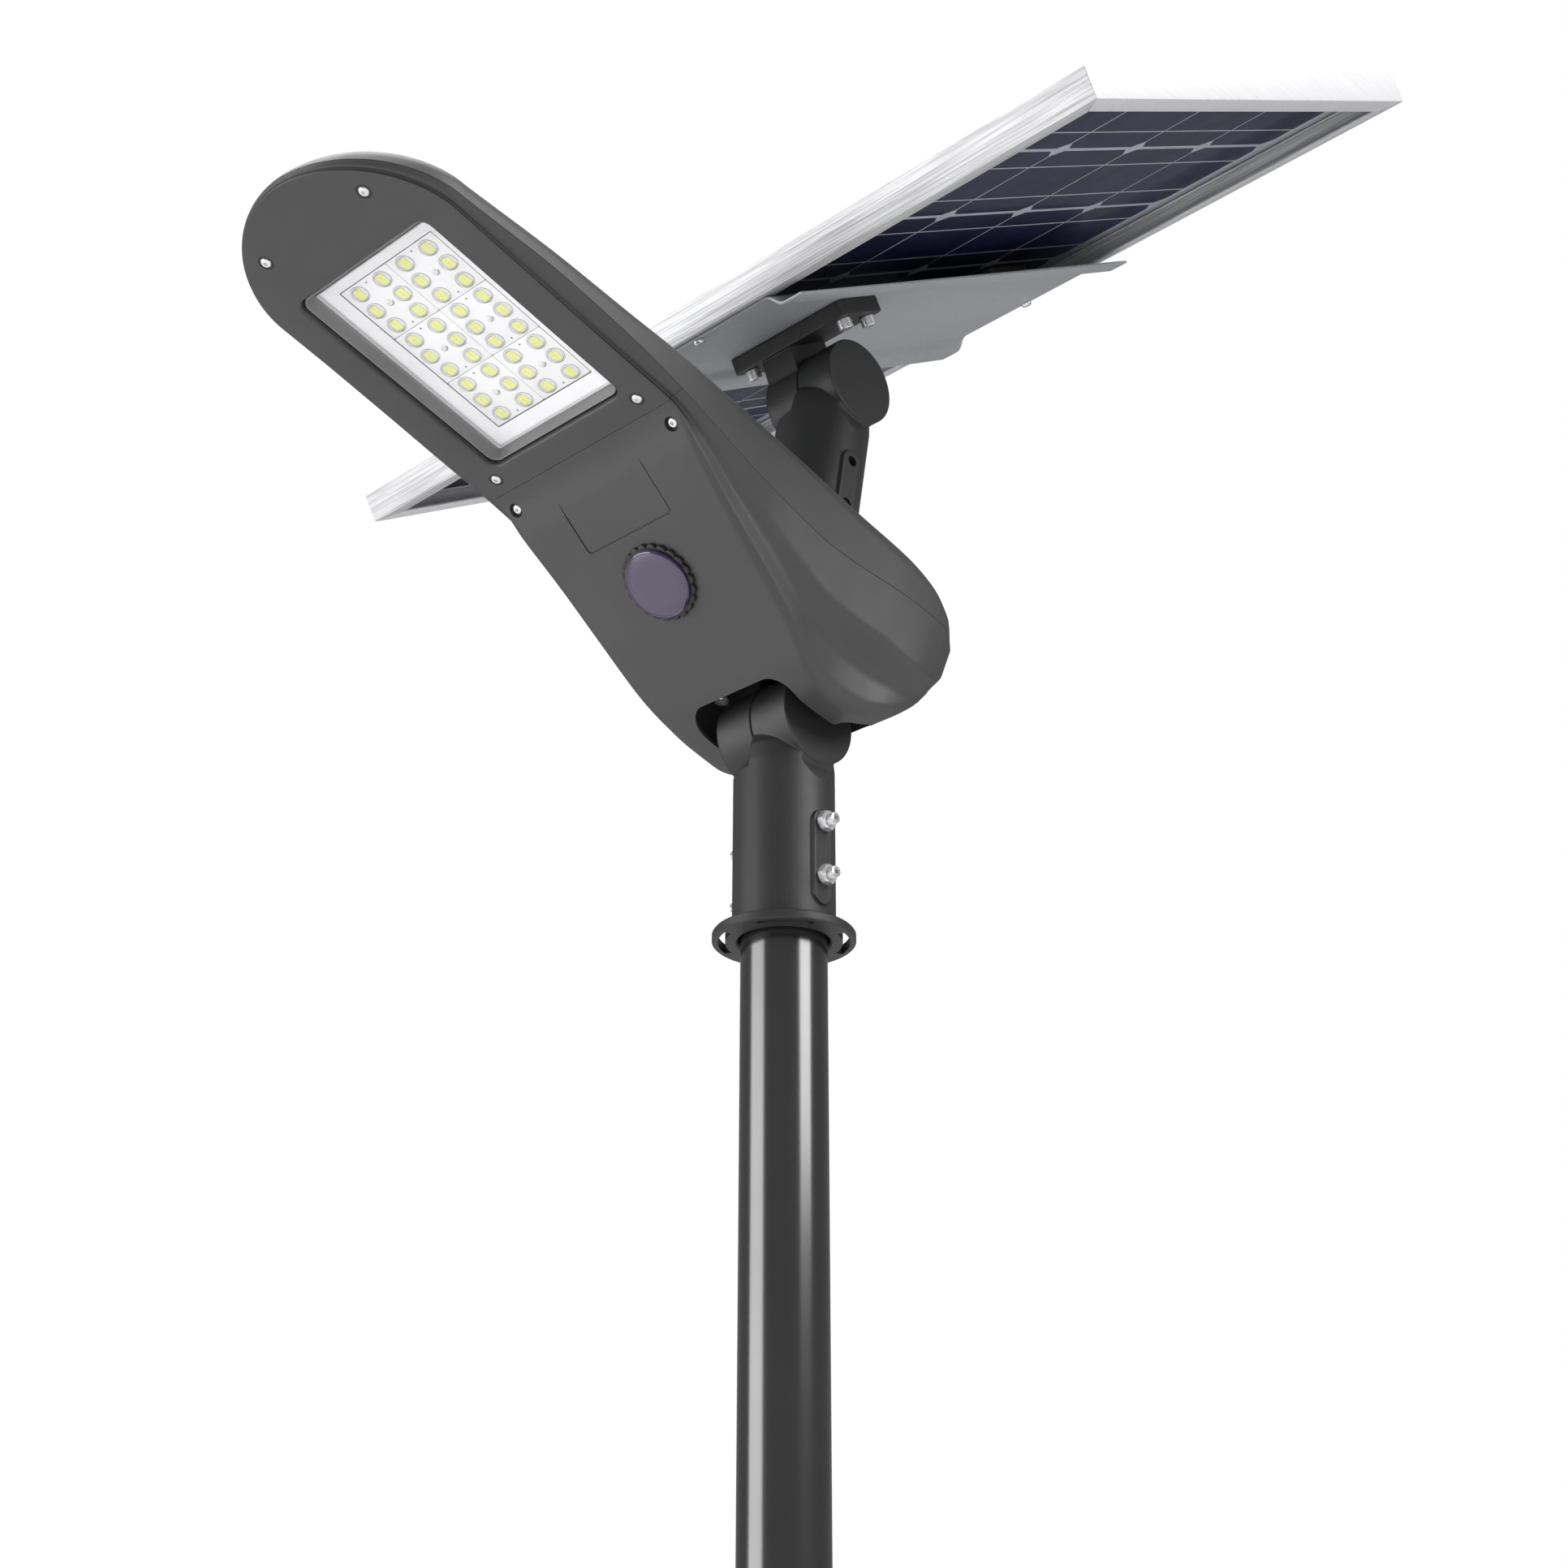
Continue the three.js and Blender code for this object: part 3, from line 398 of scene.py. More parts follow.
def settle(obj, name, material, body, matrix, slot, *nodes, angle=35):
    """Puts a finished piece into the row frame in metres and onto its body."""
    obj.data.transform(Matrix.Scale(MM, 4) @ matrix)
    obj.name = name
    if material is not None:
        obj.data.materials.clear()
        obj.data.materials.append(material)
    smooth(obj, angle)
    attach(obj, body)
    if nodes:
        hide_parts(*nodes)
    return obj


def dress(node, material, bevel):
    """A CAD node that keeps its shape gets its material and softened edges."""
    obj = frame["nodes"][node]
    obj.data.materials.clear()
    obj.data.materials.append(material)
    weld = obj.modifiers.new("weld", "WELD")
    weld.merge_threshold = 0.00001
    soft = obj.modifiers.new("bevel", "BEVEL")
    soft.width = bevel * MM
    soft.segments = 2
    soft.limit_method = "ANGLE"
    soft.angle_limit = radians(40)


# ------ camera
def make_camera():
    data = bpy.data.cameras.new("camera")
    data.lens = 56.17
    data.sensor_width = 36.0
    camera = bpy.data.objects.new("camera", data)
    bpy.context.scene.collection.objects.link(camera)
    camera.location = (1.09896, -1.12781, KNUCKLE.z * MM - 0.75985)
    camera.rotation_euler = (radians(90 + 24.538), 0, radians(44.258))
    bpy.context.scene.camera = camera


def area_light(name, place, target, size, power):
    data = bpy.data.lights.new(name, "AREA")
    data.shape = "RECTANGLE"
    data.size, data.size_y = size
    data.energy = power
    light = bpy.data.objects.new(name, data)
    bpy.context.scene.collection.objects.link(light)
    light.location = place
    light.rotation_euler = (Vector(target) - Vector(place)).to_track_quat("-Z", "Y").to_euler()
    light.visible_camera = False


def make_studio():
    """A white backdrop for the camera, a softer dome for the light, and three soft boxes."""
    world = bpy.data.worlds.new("studio")
    world.use_nodes = True
    tree = world.node_tree
    backdrop = tree.nodes["Background"]
    backdrop.inputs["Strength"].default_value = 1.0
    dome = tree.nodes.new("ShaderNodeBackground")
    dome.inputs["Strength"].default_value = 0.24
    seen = tree.nodes.new("ShaderNodeLightPath")
    mix = tree.nodes.new("ShaderNodeMixShader")
    for background in (backdrop, dome):
        background.inputs["Color"].default_value = (1, 1, 1, 1)
    tree.links.new(seen.outputs["Is Camera Ray"], mix.inputs[0])
    tree.links.new(dome.outputs[0], mix.inputs[1])
    tree.links.new(backdrop.outputs[0], mix.inputs[2])
    tree.links.new(mix.outputs[0], tree.nodes["World Output"].inputs["Surface"])
    bpy.context.scene.world = world
    bpy.context.scene.view_settings.view_transform = "Standard"

    area_light("key softbox", (-1.5, -2.7, 0.95), (0, -0.15, 0.85), (2.2, 2.2), 66)
    area_light("side softbox", (3.0, 0.6, 2.9), (0, 0, 0.9), (2.0, 3.0), 125)
    area_light("top softbox", (-0.6, -0.6, 4.2), (0, -0.3, 1.0), (3.0, 3.0), 110)

    floor = block("floor", (-9000, -9000, -30), (9000, 9000, -1))
    floor.data.transform(Matrix.Scale(MM, 4))
    floor_paint = Nodes("floor", Roughness=0.9)
    floor_paint.colour(floor_paint.noise(0.6), grey(0.84), grey(0.87))
    floor.data.materials.append(floor_paint.material)


# ------ head shell
NOSE_HUB = 426.0
NOSE_SIDE = 92.0
NOSE_REACH = 78.5
NOSE_POWER = 1.88
GROOVE = 2.5
NOTCH = 0.45
# From nose to tail: distance ahead of the knuckle, then the (half width, height over the LED face)
# of the belly, valley, wing, edge and shoulder corners, and the crown's height.
SECTIONS = [
    (426, (90, 0), (92, 0.8), (94.5, 4), (97, 8), (96, 18.5), 31),
    (340, (90, 0), (92, 0.8), (97, 5), (102, 10), (101, 23), 37),
    (285, (90, 0), (92, 0.8), (97.5, 4.5), (102.5, 9), (101.5, 26), 41),
    (233.1, (89, 0), (92, 1.5), (97, 4), (101, 6.5), (100, 32), 46),
    (200, (86, -15.8), (91, -6), (95.5, -1), (99.5, 3), (98, 34), 49),
    (160, (82, -35), (87, -20), (92.5, -10), (97.5, -1), (96, 37), 52),
    (120, (79, -54.1), (84.5, -36), (90.5, -22), (96, -4), (95, 38), 54.5),
    (80, (76, -73.3), (81, -52), (90.5, -35), (95.5, -6), (95, 36), 56),
    (54, (70, -85.7), (77, -59), (91, -42), (96, -4), (95.5, 34), 56.5),
    (26, (66, -92.5), (75, -60), (93, -42), (97, 0), (96.5, 33), 56.5),
    (0, (67, -91), (77, -60), (95, -41), (98.5, 3), (97.5, 32), 55),
    (-25, (70, -80), (82, -58), (96.5, -42), (99, 5), (98, 29), 47),
    (-45, (70, -60), (84, -50), (94, -38), (98, 6), (96.5, 19), 30),
    (-57, (64, -40), (80, -36), (89, -28), (93, -4), (91, 3), 7),
]
STATIONS = np.array([section[0] for section in SECTIONS], float)[::-1]
ROWS = np.array([np.hstack(section[1:]) for section in SECTIONS], float)[::-1]
NOSE_TIP = np.array([90.5, 0, 92, 0.8, 92.4, 4, 92.8, 8, 91.5, 12.5, 31])
EDGE_HEIGHT = 7
CROWN = 10


def section_at(ahead):
    """The section's values at any station, on a monotone cubic through the table."""
    step = int(np.clip(np.searchsorted(STATIONS, ahead) - 1, 0, len(STATIONS) - 2))
    span = STATIONS[step + 1] - STATIONS[step]

    def slope(row):
        if row in (0, len(STATIONS) - 1):
            inner = 1 if row == 0 else row - 1
            return (ROWS[inner] - ROWS[row]) / (STATIONS[inner] - STATIONS[row])
        before = (ROWS[row] - ROWS[row - 1]) / (STATIONS[row] - STATIONS[row - 1])
        after = (ROWS[row + 1] - ROWS[row]) / (STATIONS[row + 1] - STATIONS[row])
        total = np.where(before + after == 0, 1, before + after)
        return np.where(before * after > 0, 2 * before * after / total, 0)

    t = (ahead - STATIONS[step]) / span
    start, end = ROWS[step], ROWS[step + 1]
    return ((2 * t ** 3 - 3 * t ** 2 + 1) * start + (t ** 3 - 2 * t ** 2 + t) * span * slope(step)
            + (3 * t ** 2 - 2 * t ** 3) * end + (t ** 3 - t ** 2) * span * slope(step + 1))


def filleted(points, radii, steps=6):
    """A polyline in the plane with a curve at each inner corner; each corner gives steps + 1 points."""
    path = [np.array(points[0], float)]
    for index in range(1, len(points) - 1):
        before, corner, after = (np.array(points[index + side], float) for side in (-1, 0, 1))
        room = 0.48 * min(np.linalg.norm(before - corner), np.linalg.norm(after - corner))
        reach = min(radii[index], room)
        start = corner + (before - corner) / max(np.linalg.norm(before - corner), 1e-6) * reach
        end = corner + (after - corner) / max(np.linalg.norm(after - corner), 1e-6) * reach
        for step in range(steps + 1):
            t = step / steps
            path.append((1 - t) ** 2 * start + 2 * t * (1 - t) * corner + t ** 2 * end)
    path.append(np.array(points[-1], float))
    return path


def half_profile(values, wall):
    """Half section from keel to ridge as (half width, height), with its groove and parting notch."""
    belly, valley, wing, edge, shoulder = (np.array(values[2 * k:2 * k + 2]) for k in range(5))
    crown = values[CROWN]
    rise = crown - shoulder[1]
    flank = belly + (valley - belly) * (0.75, 0.25)
    if wall:
        points = [(0, belly[1] + wall), (belly[0] - wall, belly[1] + wall),
                  (flank[0] - wall, flank[1] + wall),
                  (valley[0] - wall * 1.6, valley[1] + wall * 1.4),
                  (wing[0] - wall * 1.2, wing[1] + wall * 0.4),
                  (edge[0] - wall, edge[1]), (shoulder[0] - wall, shoulder[1] - wall * 0.5),
                  (shoulder[0] * 0.93 - wall * 0.5, shoulder[1] + rise * 0.6 - wall),
                  (shoulder[0] * 0.6, shoulder[1] + rise * 0.9 - wall), (0, crown - wall)]
        return filleted(points, [0, 2, 4, 3, 4, 4, 4, 8, 30, 0], 2)
    soft = min(1.0, -belly[1] / 60)
    deep = valley + np.array((-0.7, 1.0)) * GROOVE * (1 - 0.7 * soft)
    points = [(0, belly[1]), belly, flank, deep, deep + (wing - deep) * 0.6 + (0.2, -0.2), wing,
              edge + (-0.05, -NOTCH), edge + (-NOTCH, 0), edge + (-0.05, NOTCH), shoulder,
              (shoulder[0] * 0.93, shoulder[1] + rise * 0.6),
              (shoulder[0] * 0.6, shoulder[1] + rise * 0.9), (0, crown)]
    radii = [0, 3.2 + 3 * soft, 9, 2.6 + 6 * soft, 6, 10, 0.1, 0.1, 0.1, 5, 12, 40, 0]
    return filleted(points, radii, 7)


def nose_values(share):
    """Section values round the nose; share runs from 0 at the side to 1 at the tip."""
    ease = share * share * (3 - 2 * share)
    return ROWS[-1] + (NOSE_TIP - ROWS[-1]) * ease


def shell_loops(wall):
    """Half rings from keel to ridge: up the right side, round the nose and down the left side."""
    loops = []
    tail = STATIONS[0]
    for ahead in np.concatenate([np.linspace(tail, 60, 34), np.linspace(64, 423, 90)]):
        y = -ahead
        if wall and ahead == tail:
            y -= wall
        loops.append([(x, y, z) for x, z in half_profile(section_at(ahead), wall)])
    for turn in np.linspace(0, 1, 34):
        angle = turn * pi / 2
        across = 0.0 if turn == 1 else cos(angle) ** (2 / NOSE_POWER)
        along = sin(angle) ** (2 / NOSE_POWER) * NOSE_REACH / NOSE_SIDE
        loops.append([(across * d, -NOSE_HUB - along * d, z)
                      for d, z in half_profile(nose_values(turn), wall)])
    mirrored = [[(-x, y, z) for x, y, z in loop] for loop in loops[:-1]][::-1]
    return loops + mirrored


def shell_solid(name, wall):
    loops = shell_loops(wall)
    count = len(loops[0])
    vertices = [point for loop in loops for point in loop]
    faces = []
    for row in range(len(loops) - 1):
        for step in range(count - 1):
            faces.append((row * count + step, row * count + step + 1, (row + 1) * count + step + 1,
                          (row + 1) * count + step))
    last = (len(loops) - 1) * count
    for step in range(count - 1):
        faces.append((step, last + step, last + step + 1, step + 1))
    return clean(new_object(name, vertices, faces), 0.002)


def above_parting(name, lift):
    """A solid over the parting line, which follows the sections' edge corners."""
    heights = [(-ahead, section_at(ahead)[EDGE_HEIGHT] + lift)
               for ahead in np.linspace(STATIONS[0], NOSE_HUB, 120)]
    first, last = heights[0], heights[-1]
    line = [(first[0] + 30, first[1])] + heights + [(last[0] - 120, last[1])]
    outline = line + [(line[-1][0], 250), (line[0][0], 250)]
    solid = prism(name, outline, -160, 160)
    return moved(solid, Matrix(((0, 0, 1, 0), (1, 0, 0, 0), (0, 1, 0, 0), (0, 0, 0, 1))))


BEZEL = dict(half=66.0, y0=-432.5, y1=-255.0, sunk=4.0, corner=9.0)
PARTING_GAP = 0.12
SEAM_GAP = 0.15
RECESS = dict(half=58, y0=-53, y1=52, corner=8, top=49)
LABEL = dict(half=42, y0=15.8, y1=66.1, corner=3.5, line=0.9)
SENSOR_AT = 105.0
# The frame that a screw sits in, its place across and along, and how deep its seat lies.
COVER_SCREWS = [(Matrix.Identity(4), 52.3, -468.7, 1.2), (Matrix.Identity(4), 72.7, -246.4, 1.2),
                (BELLY_LOCAL, 80.0, 14.1, 5.5)]
COVER_SCREW_PLACES = [(place @ shift(side * x, y, 0), sunk) for place, x, y, sunk in COVER_SCREWS
                      for side in (1, -1)]
FRONT_SCREWS = COVER_SCREW_PLACES[:4]
REAR_SCREWS = COVER_SCREW_PLACES[4:]


def screw_pocket(place, sunk):
    """The counterbore round a cover screw, with a small chamfer at its mouth."""
    profile = [(0, -12), (5.4, -12), (5.4, sunk), (3, sunk + 0.1), (0, sunk + 0.1)]
    return moved(lathe("pocket", profile, 40), place)


def screw_boss(radius, depth, place, outer):
    """The pad behind a cover screw, kept inside the shell's outside."""
    boss = moved(cylinder("boss", radius, 1, depth, 32), place)
    return combine(boss, [copied(outer, "limit")], "INTERSECT")


def make_housing(housing):
    collar = lathe("collar", [(0, -195), (41, -195), (41, -166.5), (40, -165.5), (31, -165.5),
                              (0, -165.5)], 72)
    combine(housing, [moved(collar, POST_LOCAL)], "UNION")
    combine(housing, [moved(cylinder("bore", 30.3, -210, -150, 72), POST_LOCAL)])
    settle(housing, "housing_top", PAINT_HEAD, "head", LED, "housing", "upper_housing", angle=28)


def make_front_cover(cover, outer):
    half, y0, y1, corner = (BEZEL[key] for key in ("half", "y0", "y1", "corner"))
    rim = prism("rim", rounded(half + 3, y0 - 3, y1 + 3, corner + 3), 1, 12)
    outline = rounded(half + 0.5, y0 - 0.5, y1 + 0.5, corner, 12)
    mid, wide, long = -344, 61, 87
    flare = ((2.2, -0.5), (1.7, 0.0), (0.9, 0.35), (0.35, 0.9), (0, 1.7), (0, 6))
    mouth = rings("mouth", [[(x * (1 + grow / wide), (y - mid) * (1 + grow / long) + mid, z)
                             for x, y in outline] for grow, z in flare])
    bosses = [screw_boss(8, 9, place, outer) for place, _ in FRONT_SCREWS]
    combine(cover, [rim] + bosses, "UNION")
    pockets = [screw_pocket(*screw) for screw in FRONT_SCREWS]
    combine(cover, [prism("hole", outline, -30, 40), mouth] + pockets)
    settle(cover, "cover_front", PAINT_HEAD, "head", LED, "housing", "front_cover", angle=28)


def make_rear_cover(cover, outer):
    half, y0, y1, corner, top = (RECESS[key] for key in ("half", "y0", "y1", "corner", "top"))
    walls = prism("recess walls", rounded(half + WALL, y0 - WALL, y1 + WALL, corner + 2), -70,
                  top + WALL)
    combine(walls, [prism("interior", rounded(half, y0, y1, corner), -80, top)])
    combine(moved(walls, UPRIGHT_LOCAL), [copied(outer, "limit")], "INTERSECT")
    bosses = [screw_boss(8.5, 13, place, outer) for place, _ in REAR_SCREWS]
    combine(cover, [walls] + bosses, "UNION")

    mouth = prism("mouth", rounded(46, y0, y1, 16, 12), -80, top - 2)
    access = prism("screw access", rounded(56, 4, 44, 8), -80, top - 2)
    half, y0, y1, corner, line = (LABEL[key] for key in ("half", "y0", "y1", "corner", "line"))
    label = prism("label", rounded(half, y0, y1, corner), -3, 1.1)
    combine(label, [prism("label face", rounded(half - line, y0 + line, y1 - line, corner - line),
                          0.35, 5)])
    sensor_hole = moved(cylinder("sensor hole", 14, -20, 20), BELLY_LOCAL @ shift(0, SENSOR_AT, 0))
    cuts = [moved(mouth, UPRIGHT_LOCAL), moved(access, UPRIGHT_LOCAL), moved(label, BELLY_LOCAL),
            sensor_hole]
    combine(cover, cuts + [screw_pocket(*screw) for screw in REAR_SCREWS])
    settle(cover, "cover_rear", PAINT_HEAD, "head", LED, "housing", "rear_cover", angle=28)


def make_head():
    outer = shell_solid("outer", 0)
    shell = combine(copied(outer, "shell"), [shell_solid("inner", WALL)])
    upper = combine(copied(shell, "upper"), [above_parting("over", PARTING_GAP)], "INTERSECT")
    lower = combine(shell, [above_parting("over", -PARTING_GAP)])
    ahead = block("ahead", (-200, -700, -150), (200, -SEAM_AHEAD - SEAM_GAP, 200))
    behind = block("behind", (-200, -SEAM_AHEAD + SEAM_GAP, -200), (200, 200, 200))
    front = combine(copied(lower, "front"), [ahead], "INTERSECT")
    rear = combine(lower, [behind], "INTERSECT")
    make_housing(upper)
    make_front_cover(front, outer)
    make_rear_cover(rear, outer)
    bpy.data.objects.remove(outer)


# ------ fasteners
def hex_socket(across, depth, top):
    return prism("socket", regular(across, 6), top - depth, top + 1)


def button_screw(name, radius, height, shank, length):
    """Dome-edged socket screw: head above z = 0, shank below."""
    profile = [(0, -length), (shank - 0.3, -length), (shank, -length + 0.4), (shank, 0),
               (radius - 0.3, 0), (radius, 0.3), (radius, height * 0.55),
               (radius * 0.86, height * 0.86), (radius * 0.66, height), (0, height)]
    return combine(lathe(name, profile, 40), [hex_socket(radius * 0.42, height * 0.6, height)])


def cap_screw(name, radius, height, shank, length):
    """Cylinder-head socket screw with chamfered edges."""
    profile = [(0, -length), (shank - 0.4, -length), (shank, -length + 0.5), (shank, 0),
               (radius - 0.35, 0), (radius, 0.35), (radius, height - 0.6), (radius - 0.6, height),
               (0, height)]
    return combine(lathe(name, profile, 48), [hex_socket(radius * 0.5, height * 0.55, height)])


def threaded_rod(name, radius, z0, z1, pitch=1.25, depth=0.5, sides=28, rows=9):
    """A rod whose surface is a real helical thread, plain for the last turn at each end."""
    loops = []
    total = int((z1 - z0) / pitch * rows)
    for row in range(total + 1):
        z = z0 + (z1 - z0) * row / total
        fade = min(1.0, (z1 - z) / pitch, (z - z0) / pitch)
        loop = []
        for step in range(sides):
            turn = step / sides
            saw = abs(((z / pitch - turn) % 1.0) * 2 - 1)
            here = radius - depth * (1 - saw) * fade - (0.5 if row in (0, total) else 0)
            loop.append((here * cos(2 * pi * turn), here * sin(2 * pi * turn), z))
        loops.append(loop)
    return rings(name, loops)


def hex_nut(name, radius, z0, z1, hole):
    """A nut with both its hexagon faces turned down at the corners."""
    body = prism(name, regular(radius, 6, pi / 6), z0, z1)
    dome = lathe("chamfer", [(0, z0), (radius * 0.86, z0), (radius * 1.02, z0 + 1.1),
                             (radius * 1.02, z1 - 1.1), (radius * 0.86, z1), (0, z1)], 60)
    combine(body, [dome], "INTERSECT")
    return combine(body, [cylinder("hole", hole, z0 - 1, z1 + 1, 32)])


ARM_SCREWS = [(45, 18), (45, -18), (-45, 18), (-45, -18)]
PLATE_BOLTS = [(-49, -117), (49, -117), (-49, -86), (49, -86)]
CHANNEL_SCREWS = [(0, end * (PANEL_SIZE[1] / 2 - 11)) for end in (-1, 1)]


def fasten(piece, name, body, matrix, node, material=STEEL):
    settle(piece, name, material, body, matrix, "fasteners", node)


def make_cover_screws():
    for number, (place, sunk) in enumerate(COVER_SCREW_PLACES, 1):
        screw = moved(moved(button_screw("screw", 3.7, 2.4, 2, 11), FLIP), place @ shift(0, 0, sunk))
        fasten(screw, f"cover_button_screw_{number}", "head", LED, f"cover_screw_{number}")
        # A black ring on the pocket floor round each screw head: painted shadow of the pocket, not a
        # seal or washer.
        profile = [(3.75, 0.0), (5.3, 0.0), (5.3, 0.7), (3.75, 0.7), (3.75, 0.0)]
        pocket_shadow_ring = moved(lathe("pocket_shadow_ring", profile, 40), place @ shift(0, 0, sunk - 0.9))
        settle(pocket_shadow_ring, f"cover_screw_pocket_shadow_{number}", BLACK, "head", LED, "fasteners")


def make_sleeve_screws():
    spots = [(side, row) for side in (1, -1) for row in SCREW_ROWS]
    for number, (side, row) in enumerate(spots, 1):
        across = LOWER @ shift(0, 0, -row) @ spin(side * pi / 2, "Y")
        rod = combine(threaded_rod("rod", 4.0, 30.5, 50), [hex_socket(2.2, 3.5, 50)])
        fasten(rod, f"clamp_screw_{number}", "coupling", across, f"set_screw_{number}")
        nut = hex_nut("nut", 7.5, 38.3, 44.3, 4.05)
        fasten(nut, f"clamp_nut_{number}", "coupling", across, f"lock_nut_{number}")
    for number, side in enumerate((1, -1), 1):
        across = POST @ shift(0, 0, -SCREW_ROWS[1]) @ spin(side * pi / 2, "Y")
        grub = combine(threaded_rod("rod", 4.0, 30.5, 36.5), [hex_socket(2.2, 3.0, 36.5)])
        fasten(grub, f"post_grub_{number}", "panel_coupling", across, f"grub_screw_{number}", BLACK)


def make_plate_screws():
    for number, (x, y) in enumerate(ARM_SCREWS, 1):
        screw = moved(cap_screw("screw", 6, 5, 3, 21), FLIP)
        fasten(screw, f"arm_cap_screw_{number}", "head", LOWER @ shift(x, y, 37.7),
               f"arm_screw_{number}")
    for number, (x, y) in enumerate(PLATE_BOLTS, 1):
        bolt = moved(cap_screw("bolt", 6, 8, 3, 18.4), FLIP)
        fasten(bolt, f"plate_cap_bolt_{number}", "panel", PANEL @ shift(x, y, -15.3),
               f"plate_bolt_{number}")
    for number, (x, y) in enumerate(CHANNEL_SCREWS, 1):
        screw = moved(button_screw("screw", 4.5, 3.0, 2.5, 8), FLIP)
        fasten(screw, f"channel_button_screw_{number}", "panel", PANEL @ shift(x, y, -2.6),
               f"channel_screw_{number}")


def make_clamp_bolts():
    for knuckle, body, node in ((LOWER, "coupling", "lower_clamp_bolt"),
                                (UPPER, "panel_coupling", "upper_clamp_bolt")):
        bolt = moved(cap_screw("bolt", 8, 8, 5, 49.4), spin(-pi / 2, "Y"))
        fasten(bolt, f"{node}_detailed", body, knuckle @ shift(-KNUCKLE_HALF + 9, 0, 0), node)


# ------ castings, arms and tubes
PAD_RADIUS = 9
SLOT_RADII = (40.5, 45.5)
SLOT_HALF_ANGLE = 0.47


def drum(name, radius, x0, x1, edge=1.0):
    """A disc along X with eased rims."""
    profile = [(0, x0), (radius - edge, x0), (radius, x0 + edge), (radius, x1 - edge),
               (radius - edge, x1), (0, x1)]
    return moved(lathe(name, profile, 96), TURN_X)


def screw_pad(side):
    """The raised oblong round the two screws on one side of a sleeve."""
    top, bottom = -SCREW_ROWS[0], -SCREW_ROWS[1] - 12
    outline = [(x, top + y) for x, y in arc(PAD_RADIUS, 0, pi)]
    outline += [(x, bottom + y) for x, y in arc(PAD_RADIUS, pi, 2 * pi)]
    pad = moved(prism("pad", outline, 31, 38), spin(pi / 2, "X"))
    return moved(pad, spin(side * pi / 2, "Z"))


def flange_slot(number):
    middle = pi / 4 + number * pi / 2
    start, end = middle - SLOT_HALF_ANGLE, middle + SLOT_HALF_ANGLE
    outline = arc(SLOT_RADII[0], start, end, 18) + arc(SLOT_RADII[1], end, start, 18)
    return prism("slot", outline, -SLEEVE_LENGTH - 3, -SLEEVE_LENGTH + 12)


def make_casting(matrix, body, node):
    """A sleeve with its half of the knuckle, softened like a casting, then its machined cuts."""
    foot = -SLEEVE_LENGTH
    barrel = lathe("barrel", [(0, foot + 2), (SLEEVE_RADIUS, foot + 2), (SLEEVE_RADIUS, -34),
                              (34.8, -22), (31, -12), (24, -4), (0, 0)], 96)
    beside = [(KNUCKLE_HALF - 2, 10), (KNUCKLE_HALF - 2, -37), (SLEEVE_RADIUS + 0.5, -50),
              (60, -50), (60, 10)]
    beside_disc = prism("beside disc", beside, -60, 60)
    combine(barrel, [moved(beside_disc, spin(pi / 2, "X"))])
    half_drum = drum("half drum", KNUCKLE_RADIUS, 0, KNUCKLE_HALF, 0.6)
    combine(barrel, [half_drum, screw_pad(1), screw_pad(-1)], "UNION")
    combine(barrel, [drum("relief", KNUCKLE_RADIUS + 1.6, -60, KNUCKLE_GAP, 0.1),
                     block("shoulder", (-60, -60, -38), (KNUCKLE_GAP, 60, 60))])
    casting = remeshed(barrel)
    flange = lathe("flange", [(0, foot), (48.9, foot), (49.7, foot + 0.8), (49.7, foot + 5.6),
                              (48.8, foot + 6.8), (47.8, foot + 7), (39, foot + 7), (37, foot + 8),
                              (36, foot + 10.5), (0, foot + 10.5)], 128)
    combine(casting, [flange], "UNION")
    cuts = [cylinder("bore", 31.7, foot - 5, -51, 96), moved(cylinder("bolt", 5.3, -1, 26.2), TURN_X),
            lathe("mouth", [(0, foot - 1), (33.2, foot - 1), (33.2, foot), (31.6, foot + 1.6),
                            (0, foot + 1.6)], 96)]
    cuts += [moved(cylinder("screw hole", 4.3, -60, 60, 32), shift(0, 0, -row) @ TURN_X)
             for row in SCREW_ROWS]
    cuts += [flange_slot(number) for number in range(4)]
    combine(casting, cuts)
    settle(casting, f"{node}_casting", PAINT_BLACK, body, matrix, "casting", node, angle=30)


def neck_block(name, low, high):
    """A tapering web from (y0, y1, z) at the drum to (y0, y1, z) at the plate."""
    x0, x1 = -KNUCKLE_HALF + 2, -KNUCKLE_GAP
    return rings(name, [[(x0, y0, z), (x1, y0, z), (x1, y1, z), (x0, y1, z)]
                        for y0, y1, z in (low, high)])


def make_arm(place, neck_top, plate, spots, reach):
    """A casting from the knuckle to its plate; place is the knuckle's, in the frame of the plate."""
    arm = moved(drum("arm", KNUCKLE_RADIUS, -KNUCKLE_HALF, -KNUCKLE_GAP, 0.6), place)
    neck = moved(neck_block("neck", (-27, 27, 0), neck_top), place)
    combine(arm, [neck, plate], "UNION")
    arm = remeshed(arm)
    bolt = [moved(cylinder("through", 5.3, -60, 5), TURN_X),
            moved(cylinder("head pocket", 8.4, -60, -KNUCKLE_HALF + 9.3), TURN_X)]
    return combine(arm, [moved(cut, place) for cut in bolt] + holes(spots, 3.3, *reach))


def make_arms():
    plate = prism("plate", rounded(54, -31, 31, 8), 38, 48.7)
    lower = make_arm(Matrix.Identity(4), (-24, 24, 39), plate, ARM_SCREWS, (0, 80))
    settle(lower, "lower_arm_casting", PAINT_BLACK, "head", LOWER, "casting", "lower_arm", angle=30)

    knuckle = (PANEL.inverted() @ UPPER).translation
    plate = prism("plate", rounded(60, -128, -76, 6), -15, -2.6)
    upper = make_arm(shift(0, knuckle.y, knuckle.z), (-20, 24, 50), plate, PLATE_BOLTS, (-60, 10))
    settle(upper, "upper_arm_casting", PAINT_BLACK, "panel", PANEL, "casting", "upper_arm", angle=30)


